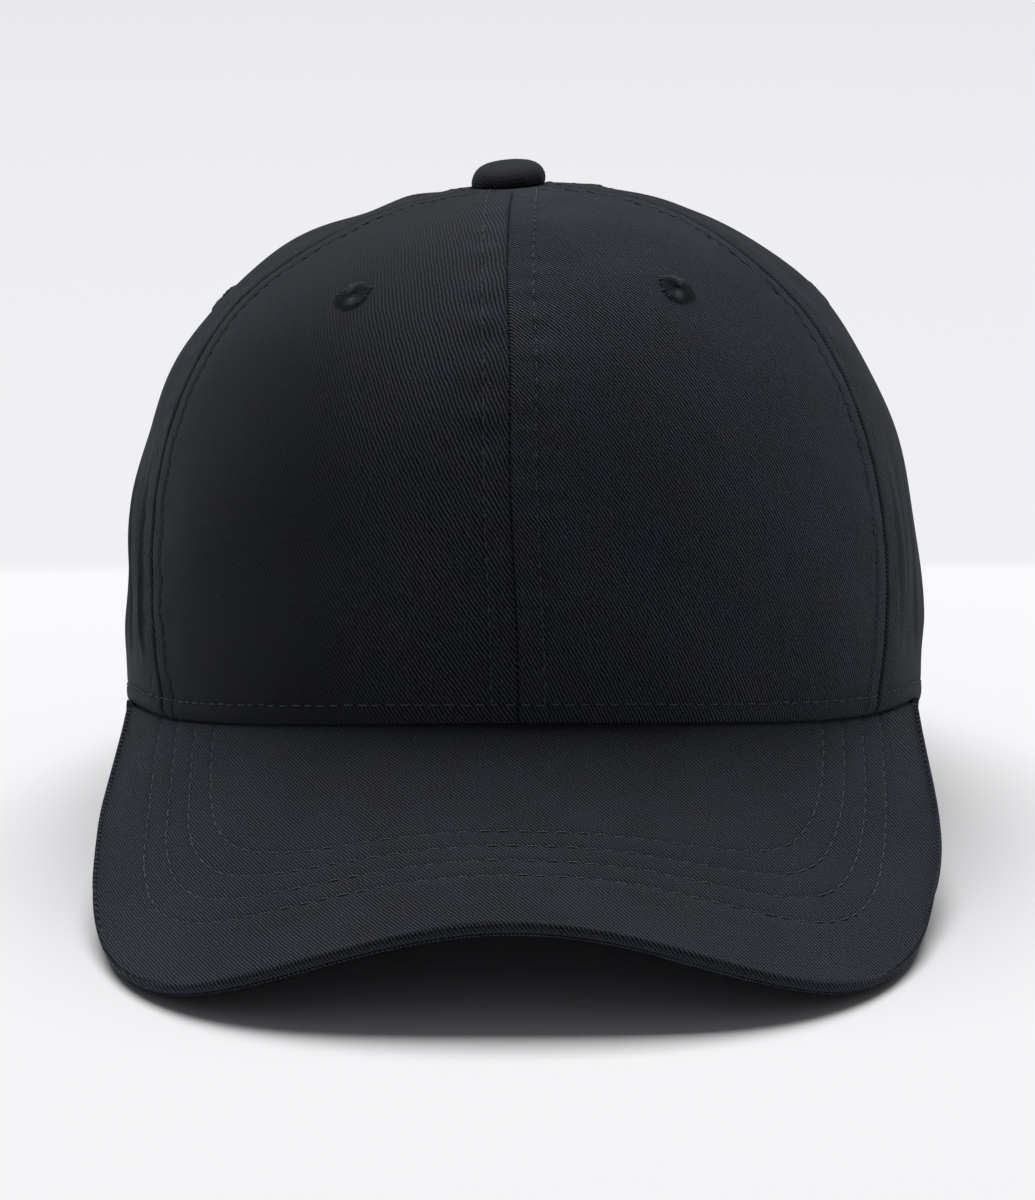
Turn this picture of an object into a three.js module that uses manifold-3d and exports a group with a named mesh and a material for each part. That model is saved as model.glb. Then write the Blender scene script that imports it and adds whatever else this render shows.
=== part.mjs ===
// A six-panel baseball cap with a curved brim and a strap-back closure, standing on its brim
// corners and its back rim. Millimetres, +Z up, the brim points to -Y, +X is the wearer's left.
import * as THREE from 'three';
import { mergeVertices } from 'three/addons/utils/BufferGeometryUtils.js';
import Module from 'manifold-3d';

const wasm = await Module();
wasm.setup();

// ---------------------------------------------------------------- driving dimensions
const CROWN_HALF_WIDTH = 89.2;
const CROWN_HALF_DEPTH = 99.6;
const CROWN_HEIGHT = 113.2;
const CROWN_TILT = 11.07; // degrees the front of the rim is raised above the back
const RIM_TUCK = 0.99; // share the crown draws in to at its rim
const TUCK_HEIGHT = 0.18; // share of the crown height that the tuck reaches
const SIDE_ROUNDNESS = { plan: 2.49, rise: 2.8 }; // superellipse powers of the meridians
const FRONT_ROUNDNESS = { plan: 2.58, rise: 3.24 };
const CROWN_PEAK = { height: 1.5, radius: 0.25 }; // where the panels' points stack under the button

const FRONT_ARCH = { height: 3.9, halfAngle: 78.9 }; // rise of the rim over the brim
const REST_ANGLES = [80, 132]; // from here to here the rim comes down to lie flat behind
const SIDE_SEAM = { angle: 59.2, bow: 5, pull: 8 }; // degrees; the pull draws its top forward
const BACK_SEAM_ANGLE = 120;
const SEAM_GAP = 0.3;
const CROWN_TOP = 0.972; // where the panels stop around the button, as a share of their length

const FABRIC = 1.4;
const GAP = 0.3;
const LINING_DEPTH = 1.8; // depth below the outer surface where buckram and tapes start
const BUCKRAM = 0.8;
const TAPE = { width: 13, thickness: 1.2, top: 0.895 };
const SWEATBAND = { depth: 3.6, thickness: 2, low: 1, high: 33, endAngle: 147 };

const BRIM = {
  length: 68.7,
  slope: 28.4, // degrees along the middle, against the rim plane
  sideSlope: 25.7,
  halfWidth: 89.3,
  squareness: 3.8, // superellipse power of the outline
  endAngle: 76.4,
  endY: -23.2,
  endStart: 0.72, // from this share of its turn the outer edge closes in on the rim
  endTaper: 2.9,
  endDrop: 3,
  bendDepth: 58.8, // droop = bendDepth * (sqrt(1 + (x / bendWidth)^2) - 1)
  bendWidth: 73.6,
  rimGap: 0.5, // clearance between the brim's inner edge and the rim
  flatEnd: 0.94, // past this turn the narrow ends keep the same facing
};
const BRIM_LAYERS = {
  brim_top_fabric: { top: 0, bottom: 0.9, inset: 0, edgeBottom: 2.3 },
  brim_board: { top: 1.2, bottom: 2.3, inset: 3.2, edgeBottom: 2.3 },
  brim_under_fabric: { top: 2.6, bottom: 3.2, inset: 0, edgeBottom: 3.2 },
};
const BRIM_EDGE_ROLL = 1.5;

const EYELET = { radius: 4.1, hole: 1.3, proud: 0.6, depth: 1.5, share: 0.474 };
const EYELET_ANGLES = { front: 29.7, side: 91, back: 150 };

const BUTTON_RADIUS = 8.3;
const BUTTON_HEIGHT = 5.2;

const OPENING = { halfAngle: 31.4, height: 50 };
const BINDING = { width: 3, outside: 0.7, inside: 1.5 };
const STRAP = { low: 3.4, high: 20.2, thickness: 1.4, outside: -2.8, start: -40, end: 50 };
const STRAP_RISE = { from: -22, to: -2 }; // where the strap comes out from under the panel
const STRAP_SLOT = { start: 38.5, end: 43.4, margin: 0.8 };
const STRAP_TAB = { start: 17.4, end: 37.4 };
const BUCKLE = {
  angle: 9, length: 22, width: 21.2, plate: 0.9, ear: 1.2, earTop: 2.9,
  floorDepth: 2.5, leverThickness: 0.9, pinRadius: 0.65, pinHole: 0.95, knuckle: 1.35, pinInset: 1.8,
  pinHeight: 1.6,
};
const GROMMET = { flange: 1.7, lift: 0.3, thickness: 0.4, cornerRadius: 2.6 };
const LABEL = { angle: 128, halfWidth: 6, low: 9, high: 30, depth: 5.9, thickness: 0.4 };

const PANEL_ROWS = 12;
const PANEL_COLUMNS = 9;

// ---------------------------------------------------------------- small helpers
const radians = THREE.MathUtils.degToRad;
const smoothstep = THREE.MathUtils.smoothstep;
const lerp = THREE.MathUtils.lerp;
const tilt = radians(CROWN_TILT);
const lift = CROWN_HALF_DEPTH * RIM_TUCK * Math.sin(tilt);

function vec(x, y, z) {
  return new THREE.Vector3(x, y, z);
}

// From the crown's own frame, where the rim is level, to the standing cap.
function stand(p) {
  const y = p.y * Math.cos(tilt) + p.z * Math.sin(tilt);
  const z = p.z * Math.cos(tilt) - p.y * Math.sin(tilt) + lift;
  return vec(p.x, y, z);
}

function steps(count, low = 0, high = 1) {
  return Array.from({ length: count + 1 }, (_, i) => lerp(low, high, i / count));
}

function signedVolume(positions, index) {
  const [a, b, c] = [vec(0, 0, 0), vec(0, 0, 0), vec(0, 0, 0)];
  let sum = 0;
  for (let i = 0; i < index.length; i += 3) {
    a.fromArray(positions, index[i] * 3);
    b.fromArray(positions, index[i + 1] * 3);
    c.fromArray(positions, index[i + 2] * 3);
    sum += a.dot(b.cross(c)) / 6;
  }
  return sum;
}

// A closed body from positions and triangles, with its faces turned outward.
function closedBody(positions, index) {
  if (signedVolume(positions, index) < 0) {
    index.reverse();
  }
  const body = new THREE.BufferGeometry();
  body.setAttribute('position', new THREE.Float32BufferAttribute(positions, 3));
  body.setIndex(index);
  return body;
}

// A thin closed body between two surfaces, outer(u, v) and inner(u, v), over a grid of knots.
function slab(outer, inner, uKnots, vKnots) {
  const positions = [];
  const index = [];
  const columns = uKnots.length;
  const rows = vKnots.length;
  for (const surface of [outer, inner]) {
    for (const v of vKnots) {
      for (const u of uKnots) {
        positions.push(...surface(u, v).toArray());
      }
    }
  }
  const at = (layer, i, j) => layer * columns * rows + j * columns + i;
  const quad = (a, b, c, d) => index.push(a, b, c, a, c, d);
  for (let j = 0; j + 1 < rows; j += 1) {
    for (let i = 0; i + 1 < columns; i += 1) {
      quad(at(0, i, j), at(0, i + 1, j), at(0, i + 1, j + 1), at(0, i, j + 1));
      quad(at(1, i, j), at(1, i, j + 1), at(1, i + 1, j + 1), at(1, i + 1, j));
    }
    const last = columns - 1;
    quad(at(0, 0, j), at(0, 0, j + 1), at(1, 0, j + 1), at(1, 0, j));
    quad(at(0, last, j), at(1, last, j), at(1, last, j + 1), at(0, last, j + 1));
  }
  for (let i = 0; i + 1 < columns; i += 1) {
    const top = rows - 1;
    quad(at(0, i, 0), at(1, i, 0), at(1, i + 1, 0), at(0, i + 1, 0));
    quad(at(0, i, top), at(0, i + 1, top), at(1, i + 1, top), at(1, i, top));
  }
  return closedBody(positions, index);
}

function toManifold(geometry) {
  const bare = geometry.clone();
  bare.deleteAttribute('normal');
  bare.deleteAttribute('uv');
  const merged = mergeVertices(bare, 1e-5);
  const mesh = new wasm.Mesh({
    numProp: 3,
    vertProperties: new Float32Array(merged.attributes.position.array),
    triVerts: new Uint32Array(merged.index.array),
  });
  return new wasm.Manifold(mesh);
}

function subtract(geometry, cutters) {
  let solid = toManifold(geometry);
  for (const cutter of cutters) {
    solid = solid.subtract(toManifold(cutter));
  }
  const mesh = solid.getMesh();
  return closedBody(Array.from(mesh.vertProperties), Array.from(mesh.triVerts));
}

// ---------------------------------------------------------------- crown surface
// Angles run round the crown from 0 at the front through 90 at +X to 180 behind.
// Shares run up a panel from 0 at the rim to 1 at the button.
function heightShare(share) {
  return share < 0 ? SIDE_ROUNDNESS.plan * share : 1 - (1 - share) ** SIDE_ROUNDNESS.plan;
}

function rimHeight(angle) {
  const away = Math.abs(angle);
  const fromMiddle = Math.min(away / FRONT_ARCH.halfAngle, 1);
  const arch = FRONT_ARCH.height * 0.5 * (1 + Math.cos(Math.PI * fromMiddle));
  const y = -CROWN_HALF_DEPTH * RIM_TUCK * Math.cos(radians(angle));
  const aboveFloor = (lift - y * Math.sin(tilt)) / Math.cos(tilt);
  return arch - aboveFloor * smoothstep(away, ...REST_ANGLES);
}

function outerPoint(angle, share) {
  const w = heightShare(share);
  const inside = Math.min(Math.max(w, 0), 1);
  const facing = Math.max(Math.cos(radians(angle)), 0) ** 1.5;
  const plan = lerp(SIDE_ROUNDNESS.plan, FRONT_ROUNDNESS.plan, facing);
  const rise = lerp(SIDE_ROUNDNESS.rise, FRONT_ROUNDNESS.rise, facing);
  const tuck = 1 - (1 - RIM_TUCK) * (1 - Math.min(inside / TUCK_HEIGHT, 1)) ** 2;
  const radius = (1 - inside ** rise) ** (1 / plan) * tuck;
  const foot = rimHeight(angle > 180 ? angle - 360 : angle);
  const peak = CROWN_PEAK.height * Math.exp(-((radius / CROWN_PEAK.radius) ** 2));
  return stand(vec(
    CROWN_HALF_WIDTH * Math.sin(radians(angle)) * radius,
    -CROWN_HALF_DEPTH * Math.cos(radians(angle)) * radius,
    foot + (CROWN_HEIGHT - foot) * w + peak,
  ));
}

function crownNormal(angle, share) {
  const low = Math.max(share - 0.004, 0);
  const along = outerPoint(angle, low + 0.008).sub(outerPoint(angle, low));
  const round = outerPoint(angle + 0.5, share).sub(outerPoint(angle - 0.5, share));
  const normal = round.cross(along);
  if (share <= 0) {
    normal.z = 0;
  }
  return normal.normalize();
}

// A point at a depth below the outer surface; the rim edge keeps its own level.
function crownPoint(angle, share, depth = 0) {
  return outerPoint(angle, share).addScaledVector(crownNormal(angle, share), -depth);
}

// The share at which the panel stands a given height above its own rim.
function shareAtRise(angle, rise) {
  const rim = outerPoint(angle, 0).z;
  let [low, high] = [0, 0.7];
  for (let i = 0; i < 30; i += 1) {
    const middle = (low + high) / 2;
    [low, high] = outerPoint(angle, middle).z - rim < rise ? [middle, high] : [low, middle];
  }
  return low;
}

function bandPoint(angle, rise, depth) {
  return crownPoint(angle, shareAtRise(angle, rise), depth);
}

// Degrees that a distance in millimetres spans round the crown at this share.
function spanAngle(distance, angle, share) {
  const perDegree = outerPoint(angle + 0.5, share).distanceTo(outerPoint(angle - 0.5, share));
  return distance / perDegree;
}

function sideSeam(share) {
  const w = heightShare(share);
  const bow = SIDE_SEAM.bow * Math.sin(Math.PI * w);
  return SIDE_SEAM.angle + bow - SIDE_SEAM.pull * smoothstep(w, 0.75, 1);
}

const SEAMS = {
  front: () => 0,
  side: sideSeam,
  rear: () => BACK_SEAM_ANGLE,
  back: () => 180,
};

// ---------------------------------------------------------------- panels and lining
function panelBody(side, fromSeam, toSeam, margin, depth, thickness, shares, columns) {
  const angleAt = (u, share) => {
    const low = fromSeam(share);
    const high = toSeam(share);
    const lowInset = spanAngle(margin, low + 0.5, share);
    const highInset = spanAngle(margin, high - 0.5, share);
    return side * lerp(low + lowInset, high - highInset, u);
  };
  return slab(
    (u, v) => crownPoint(angleAt(u, v), v, depth),
    (u, v) => crownPoint(angleAt(u, v), v, depth + thickness),
    steps(columns),
    shares,
  );
}

function surfaceGroup(angle, share) {
  const normal = crownNormal(angle, share);
  const round = outerPoint(angle + 0.5, share).sub(outerPoint(angle - 0.5, share)).normalize();
  const up = normal.clone().cross(round);
  const frame = new THREE.Matrix4().makeBasis(round, up, normal);
  frame.setPosition(outerPoint(angle, share));
  return frame;
}

function eyeletSpots() {
  const spots = [];
  for (const [side, name] of [[1, 'left'], [-1, 'right']]) {
    for (const [place, angle] of Object.entries(EYELET_ANGLES)) {
      spots.push({ name: `eyelet_${place}_${name}`, place, side, angle: side * angle });
    }
  }
  return spots;
}

function eyeletCutter(spot) {
  const cutter = new THREE.CylinderGeometry(EYELET.radius + GAP, EYELET.radius + GAP, 12, 16);
  cutter.rotateX(Math.PI / 2);
  return cutter.applyMatrix4(surfaceGroup(spot.angle, EYELET.share));
}

function eyeletBody(spot) {
  const profile = [
    [EYELET.hole, -EYELET.depth], [EYELET.radius, -EYELET.depth + 0.3], [EYELET.radius, 0.1],
    [EYELET.radius - 0.7, EYELET.proud], [EYELET.hole + 0.5, EYELET.proud], [EYELET.hole, 0.2],
    [EYELET.hole, -EYELET.depth],
  ];
  const ring = new THREE.LatheGeometry(profile.map(([r, z]) => new THREE.Vector2(r, z)), 16);
  ring.rotateX(Math.PI / 2);
  return ring.applyMatrix4(surfaceGroup(spot.angle, EYELET.share));
}

// ---------------------------------------------------------------- half-moon opening
function openingSpot(turn) {
  const angle = 180 - OPENING.halfAngle * Math.cos(turn);
  return { angle, share: shareAtRise(angle, OPENING.height * Math.sin(turn)) };
}

function openingCutter() {
  const outline = steps(24, 0, Math.PI).map((turn) => {
    const { angle, share } = openingSpot(turn);
    const p = outerPoint(angle, share);
    return new THREE.Vector2(p.x, p.z);
  });
  const [first, last] = [outline[0], outline.at(-1)];
  outline.push(new THREE.Vector2(last.x, -10), new THREE.Vector2(first.x, -10));
  const cutter = new THREE.ExtrudeGeometry(new THREE.Shape(outline), {
    depth: 70, bevelEnabled: false,
  });
  return cutter.rotateX(Math.PI / 2).translate(0, 130, 0);
}

function bindingBody() {
  const surface = (depth) => (turn, across) => {
    const spot = openingSpot(turn);
    const ahead = openingSpot(turn + 0.01);
    const behind = openingSpot(turn - 0.01);
    const along = outerPoint(ahead.angle, ahead.share).sub(outerPoint(behind.angle, behind.share));
    const normal = crownNormal(spot.angle, Math.max(spot.share, 0.001));
    const inward = along.cross(normal).normalize();
    const base = outerPoint(spot.angle, spot.share);
    if (inward.dot(vec(-base.x, 0, 20 - base.z)) < 0) {
      inward.negate();
    }
    return base.addScaledVector(inward, GAP + across).addScaledVector(normal, -depth);
  };
  const turns = steps(24, 0.06, Math.PI - 0.06);
  return slab(surface(-BINDING.outside), surface(BINDING.inside), turns, [0, BINDING.width]);
}

// ---------------------------------------------------------------- strap and clasp
// The strap's angles are counted from the middle of the back.
function strapDepth(turn) {
  const rising = smoothstep(turn, STRAP_RISE.from, STRAP_RISE.to);
  const diving = smoothstep(turn, STRAP_SLOT.start + 0.2, STRAP_SLOT.end - 0.6);
  return lerp(LINING_DEPTH, STRAP.outside, rising) + (LINING_DEPTH - STRAP.outside) * diving;
}

function strapBody() {
  const turns = [
    ...steps(6, STRAP.start, STRAP_RISE.from),
    ...steps(6, STRAP_RISE.from, STRAP_RISE.to).slice(1),
    ...steps(10, STRAP_RISE.to, STRAP_SLOT.start).slice(1),
    ...steps(6, STRAP_SLOT.start, STRAP_SLOT.end).slice(1),
    ...steps(2, STRAP_SLOT.end, STRAP.end).slice(1),
  ];
  return slab(
    (turn, rise) => bandPoint(180 + turn, rise, strapDepth(turn)),
    (turn, rise) => bandPoint(180 + turn, rise, strapDepth(turn) + STRAP.thickness),
    turns,
    [STRAP.low, STRAP.high],
  );
}

function strapTabBody() {
  const depthAt = (turn) => lerp(0.6, LINING_DEPTH, smoothstep(turn, STRAP_TAB.start, 25));
  return slab(
    (turn, rise) => bandPoint(180 + turn, rise, depthAt(turn)),
    (turn, rise) => bandPoint(180 + turn, rise, depthAt(turn) + STRAP.thickness),
    steps(7, STRAP_TAB.start, STRAP_TAB.end),
    [STRAP.low, STRAP.high],
  );
}

function slotFrame() {
  const angle = 180 + (STRAP_SLOT.start + STRAP_SLOT.end) / 2;
  return surfaceGroup(angle, shareAtRise(angle, (STRAP.low + STRAP.high) / 2));
}

function slotSize() {
  const middle = 180 + (STRAP_SLOT.start + STRAP_SLOT.end) / 2;
  const across = (STRAP_SLOT.end - STRAP_SLOT.start) / spanAngle(1, middle, 0.05);
  return [across, STRAP.high - STRAP.low + 2 * STRAP_SLOT.margin];
}

function slotCutter() {
  const [across, tall] = slotSize();
  return new THREE.BoxGeometry(across, tall, 14).applyMatrix4(slotFrame());
}

function roundedRectangle(path, width, height, radius) {
  const [x, y] = [width / 2 - radius, height / 2 - radius];
  path.absarc(x, y, radius, 0, Math.PI / 2);
  path.absarc(-x, y, radius, Math.PI / 2, Math.PI);
  path.absarc(-x, -y, radius, Math.PI, Math.PI * 1.5);
  path.absarc(x, -y, radius, Math.PI * 1.5, Math.PI * 2);
  path.closePath();
  return path;
}

function grommetBody() {
  const [across, tall] = slotSize();
  const ring = roundedRectangle(
    new THREE.Shape(),
    across + 2 * GROMMET.flange,
    tall + 2 * GROMMET.flange,
    GROMMET.cornerRadius,
  );
  ring.holes.push(roundedRectangle(new THREE.Path(), across, tall, 1));
  const plate = new THREE.ExtrudeGeometry(ring, {
    depth: GROMMET.thickness, bevelEnabled: false, curveSegments: 4,
  });
  return plate.translate(0, 0, GROMMET.lift).applyMatrix4(slotFrame());
}

// The clasp's frame: x along the strap, y up its width, z out of the cap from the strap's face.
function claspFrame() {
  const angle = 180 + BUCKLE.angle;
  const frame = surfaceGroup(angle, shareAtRise(angle, (STRAP.low + STRAP.high) / 2));
  return frame.multiply(new THREE.Matrix4().makeTranslation(0, 0, -STRAP.outside));
}

function pinRod(radius, length) {
  const rod = new THREE.CylinderGeometry(radius, radius, length, 16);
  return rod.translate(BUCKLE.length / 2 - BUCKLE.pinInset, 0, BUCKLE.pinHeight);
}

function buckleFrameBody() {
  const half = BUCKLE.width / 2;
  const floorTop = -BUCKLE.floorDepth;
  const outline = [
    [-half, floorTop - BUCKLE.plate], [half, floorTop - BUCKLE.plate], [half, BUCKLE.earTop],
    [half - BUCKLE.ear, BUCKLE.earTop], [half - BUCKLE.ear, floorTop],
    [-half + BUCKLE.ear, floorTop], [-half + BUCKLE.ear, BUCKLE.earTop], [-half, BUCKLE.earTop],
  ].map(([y, z]) => new THREE.Vector2(y, z));
  const channel = new THREE.ExtrudeGeometry(new THREE.Shape(outline), {
    depth: BUCKLE.length, bevelEnabled: false,
  });
  channel.rotateY(Math.PI / 2).rotateX(Math.PI / 2).translate(-BUCKLE.length / 2, 0, 0);
  return subtract(channel, [pinRod(BUCKLE.pinHole, BUCKLE.width + 2)]).applyMatrix4(claspFrame());
}

function bucklePinBody() {
  return pinRod(BUCKLE.pinRadius, BUCKLE.width + 0.2).applyMatrix4(claspFrame());
}

function buckleLeverBody() {
  const pinX = BUCKLE.length / 2 - BUCKLE.pinInset;
  const tipX = -BUCKLE.length / 2 - 1.5;
  const top = BUCKLE.pinHeight + BUCKLE.leverThickness / 2;
  const bottom = BUCKLE.pinHeight - BUCKLE.leverThickness / 2;
  const shape = new THREE.Shape();
  const touch = Math.asin(BUCKLE.leverThickness / 2 / BUCKLE.knuckle);
  shape.absarc(pinX, BUCKLE.pinHeight, BUCKLE.knuckle, -Math.PI + touch, Math.PI - touch);
  shape.lineTo(tipX + 3, top);
  shape.lineTo(tipX, top + 0.9);
  shape.lineTo(tipX, bottom + 0.9);
  shape.lineTo(tipX + 3, bottom);
  shape.closePath();
  const hole = new THREE.Path();
  hole.absarc(pinX, BUCKLE.pinHeight, BUCKLE.pinHole, 0, Math.PI * 2);
  shape.holes.push(hole);
  const width = BUCKLE.width - 2 * BUCKLE.ear - 2 * GAP;
  const plate = new THREE.ExtrudeGeometry(shape, {
    depth: width, bevelEnabled: false, curveSegments: 8,
  });
  plate.rotateX(Math.PI / 2).translate(0, width / 2, 0);
  return plate.applyMatrix4(claspFrame());
}

// ---------------------------------------------------------------- brim
// The brim's turn runs along its outer edge, from -1 at one end through 0 in front to 1.
function brimOuterEdge(turn) {
  const inner = -CROWN_HALF_DEPTH * RIM_TUCK;
  const frontY = inner - BRIM.length * Math.cos(radians(BRIM.slope));
  const frontZ = FRONT_ARCH.height - BRIM.length * Math.sin(radians(BRIM.slope));
  const [s, c] = [Math.sin(turn * Math.PI / 2), Math.cos(turn * Math.PI / 2)];
  const power = BRIM.squareness;
  const reach = (Math.abs(s) ** power + Math.abs(c) ** power) ** (-1 / power);
  const x = BRIM.halfWidth * reach * s;
  const y = BRIM.endY + (frontY - BRIM.endY) * reach * c;
  const droop = BRIM.bendDepth * (Math.sqrt(1 + (x / BRIM.bendWidth) ** 2) - 1);
  const z = frontZ + (y - frontY) * Math.tan(radians(BRIM.sideSlope)) - droop;
  const ending = smoothstep(Math.abs(turn), BRIM.endStart, 1);
  return stand(vec(x - BRIM.endTaper * Math.sign(turn) * ending, y, z - BRIM.endDrop * ending));
}

// A point at a depth below the brim's top: share 0 is on the outer edge, 1 at the rim.
function brimPoint(turn, share, depth) {
  const on = (t, along) => {
    const inner = crownPoint(t * BRIM.endAngle, 0, 0);
    const outer = brimOuterEdge(t);
    const ahead = inner.clone().sub(outer);
    const length = ahead.length();
    const reach = along * (length - BRIM.rimGap);
    return outer.addScaledVector(ahead.normalize(), reach);
  };
  const level = Math.min(Math.max(turn, -BRIM.flatEnd), BRIM.flatEnd);
  const round = on(level + 0.004, share).sub(on(level - 0.004, share));
  const back = on(level, share + 0.01).sub(on(level, share - 0.01));
  const normal = back.cross(round).normalize();
  if (normal.z < 0) {
    normal.negate();
  }
  return on(turn, share).addScaledVector(normal, -depth - GAP);
}

function brimLayer({ top, bottom, inset, edgeBottom }) {
  const length = BRIM.length - BRIM.rimGap;
  const edge = inset / length;
  const roll = BRIM_EDGE_ROLL / length;
  const knots = [edge, edge + roll, edge + 1.3 * roll, ...steps(5, 0.08, 1)];
  const turns = steps(30, -1, 1);
  const depthAt = (share) => (share < edge + 1.15 * roll ? edgeBottom : bottom);
  return slab(
    (turn, share) => brimPoint(turn, share, top),
    (turn, share) => brimPoint(turn, share, depthAt(share)),
    inset > 0 ? turns.slice(1, -1) : turns,
    knots,
  );
}

// ---------------------------------------------------------------- button
function buttonPiece(profile, segments = 24) {
  const points = profile.map(([r, z]) => new THREE.Vector2(r, z));
  const piece = new THREE.LatheGeometry(points, segments);
  piece.rotateX(Math.PI / 2);
  piece.translate(0, 0, CROWN_HEIGHT + CROWN_PEAK.height);
  const frame = new THREE.Matrix4().makeRotationX(-tilt);
  frame.setPosition(0, 0, lift);
  return piece.applyMatrix4(frame);
}

function buttonCoverBody() {
  const [r, h] = [BUTTON_RADIUS, BUTTON_HEIGHT];
  return buttonPiece([
    [0, h - 0.9], [0.42 * r, h - 1.1], [0.75 * r, h - 1.8], [0.87 * r, h - 2.8], [0.88 * r, 1.8],
    [0.83 * r, 1.3], [0.6 * r, 1.3], [0.6 * r, 0.4], [0.95 * r, 0.4], [r, 1.6],
    [0.975 * r, h - 2.5], [0.82 * r, h - 1], [0.42 * r, h - 0.2], [0, h],
  ]);
}

function buttonCoreBody() {
  const [r, h] = [BUTTON_RADIUS, BUTTON_HEIGHT];
  return buttonPiece([
    [0, 1.7], [0.78 * r, 1.7], [0.83 * r, 1.9], [0.82 * r, h - 3], [0.7 * r, h - 2.2],
    [0.4 * r, h - 1.5], [0, h - 1.3],
  ]);
}

function buttonTackBody() {
  return buttonPiece([[0, -4.9], [5.5, -4.9], [5.5, -4.3], [1.6, -4.1], [1.6, 1.4], [0, 1.4]], 16);
}

// ---------------------------------------------------------------- assembly
function material(colour, roughness, metalness = 0) {
  return new THREE.MeshStandardMaterial({ color: colour, roughness, metalness });
}

const MAKE = {
  twill: () => material(0x24272d, 0.92),
  lining: () => material(0x1c1e22, 0.9),
  buckram: () => material(0xd9d8d2, 0.85),
  board: () => material(0xe6e6e2, 0.5),
  metal: () => material(0x8d8a82, 0.35, 1),
  label: () => material(0x18191c, 0.8),
};

const cap = new THREE.Group();

function add(name, geometry, finish) {
  const mesh = new THREE.Mesh(geometry, MAKE[finish]());
  mesh.name = name;
  cap.add(mesh);
}

function addPanels() {
  const shares = steps(PANEL_ROWS, 0, CROWN_TOP);
  const spots = eyeletSpots();
  const plan = [
    ['front', SEAMS.front, SEAMS.side],
    ['side', SEAMS.side, SEAMS.rear],
    ['back', SEAMS.rear, SEAMS.back],
  ];
  for (const [side, name] of [[1, 'left'], [-1, 'right']]) {
    for (const [place, from, to] of plan) {
      const body = panelBody(side, from, to, SEAM_GAP / 2, 0, FABRIC, shares, PANEL_COLUMNS);
      const cutters = spots.filter((s) => s.side === side && s.place === place).map(eyeletCutter);
      if (place === 'back') {
        cutters.push(openingCutter());
      }
      if (place === 'back' && side < 0) {
        cutters.push(slotCutter());
      }
      add(`${place}_panel_${name}`, subtract(body, cutters), 'twill');
    }
  }
  for (const spot of spots) {
    add(spot.name, eyeletBody(spot), 'twill');
  }
}

function addBuckram() {
  const shares = steps(PANEL_ROWS, 0, CROWN_TOP).slice(0, -2);
  shares[0] = 0.01;
  for (const [side, name] of [[1, 'left'], [-1, 'right']]) {
    const margin = TAPE.width / 2 + GAP;
    const columns = PANEL_COLUMNS - 1;
    const body = panelBody(
      side, SEAMS.front, SEAMS.side, margin, LINING_DEPTH, BUCKRAM, shares, columns,
    );
    const spots = eyeletSpots().filter((s) => s.side === side && s.place === 'front');
    const cutters = spots.map(eyeletCutter);
    add(`front_buckram_${name}`, subtract(body, cutters), 'buckram');
  }
}

function addTape(name, side, seam, low) {
  const rows = steps(PANEL_ROWS, 0, CROWN_TOP).filter(
    (share) => share > low + 0.03 && share < TAPE.top - 0.03,
  );
  const surface = (depth) => (across, share) => {
    const angle = side * seam(share);
    return crownPoint(angle + spanAngle(across, angle, share), share, depth);
  };
  const half = TAPE.width / 2;
  const body = slab(
    surface(LINING_DEPTH),
    surface(LINING_DEPTH + TAPE.thickness),
    steps(2, -half, half),
    [low, ...rows, TAPE.top],
  );
  add(`seam_tape_${name}`, body, 'lining');
}

function addTapes() {
  addTape('front', 1, SEAMS.front, 0.01);
  addTape('back', 1, SEAMS.back, shareAtRise(180, OPENING.height + 5));
  for (const [side, name] of [[1, 'left'], [-1, 'right']]) {
    addTape(`front_${name}`, side, SEAMS.side, 0.01);
    addTape(`rear_${name}`, side, SEAMS.rear, 0.01);
  }
}

function addSweatband() {
  const end = SWEATBAND.endAngle;
  const surface = (depth) => (angle, rise) => bandPoint(angle, rise, depth);
  const body = slab(
    surface(SWEATBAND.depth),
    surface(SWEATBAND.depth + SWEATBAND.thickness),
    steps(48, -end, end),
    [SWEATBAND.low, SWEATBAND.high / 2, SWEATBAND.high],
  );
  add('sweatband', body, 'lining');
  const label = slab(
    surface(LABEL.depth),
    surface(LABEL.depth + LABEL.thickness),
    steps(2, LABEL.angle - LABEL.halfWidth, LABEL.angle + LABEL.halfWidth),
    [LABEL.low, LABEL.high],
  );
  add('size_label', label, 'label');
}

function addBrim() {
  for (const [name, layer] of Object.entries(BRIM_LAYERS)) {
    add(name, brimLayer(layer), name === 'brim_board' ? 'board' : 'twill');
  }
}

function addClosure() {
  add('back_opening_binding', bindingBody(), 'twill');
  add('back_strap', strapBody(), 'twill');
  add('strap_tab', strapTabBody(), 'twill');
  add('tuck_grommet', grommetBody(), 'metal');
  add('buckle_frame', buckleFrameBody(), 'metal');
  add('buckle_pin', bucklePinBody(), 'metal');
  add('buckle_lever', buckleLeverBody(), 'metal');
}

function addButton() {
  add('button_cover', buttonCoverBody(), 'twill');
  add('button_core', buttonCoreBody(), 'metal');
  add('button_tack', buttonTackBody(), 'metal');
}

addPanels();
addBuckram();
addTapes();
addSweatband();
addBrim();
addClosure();
addButton();

// The origin is the middle of the footprint, on the surface the cap stands on.
const box = new THREE.Box3().setFromObject(cap);
cap.position.set(0, -(box.min.y + box.max.y) / 2, -box.min.z);

export default cap;
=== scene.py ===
"""The looks of a baseball cap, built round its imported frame.

Lengths are in millimetres until a mesh is made. The crown and the brim follow the same
surfaces as the CAD model, with seams, turned edges, folds and stitches added on top.
Angles run round the crown from 0 at the front through 90 at +X to 180 behind; shares run up
a panel from 0 at the rim to 1 at the button.
"""

import math

import bpy
import numpy as np
from mathutils import Matrix, Vector


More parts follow.
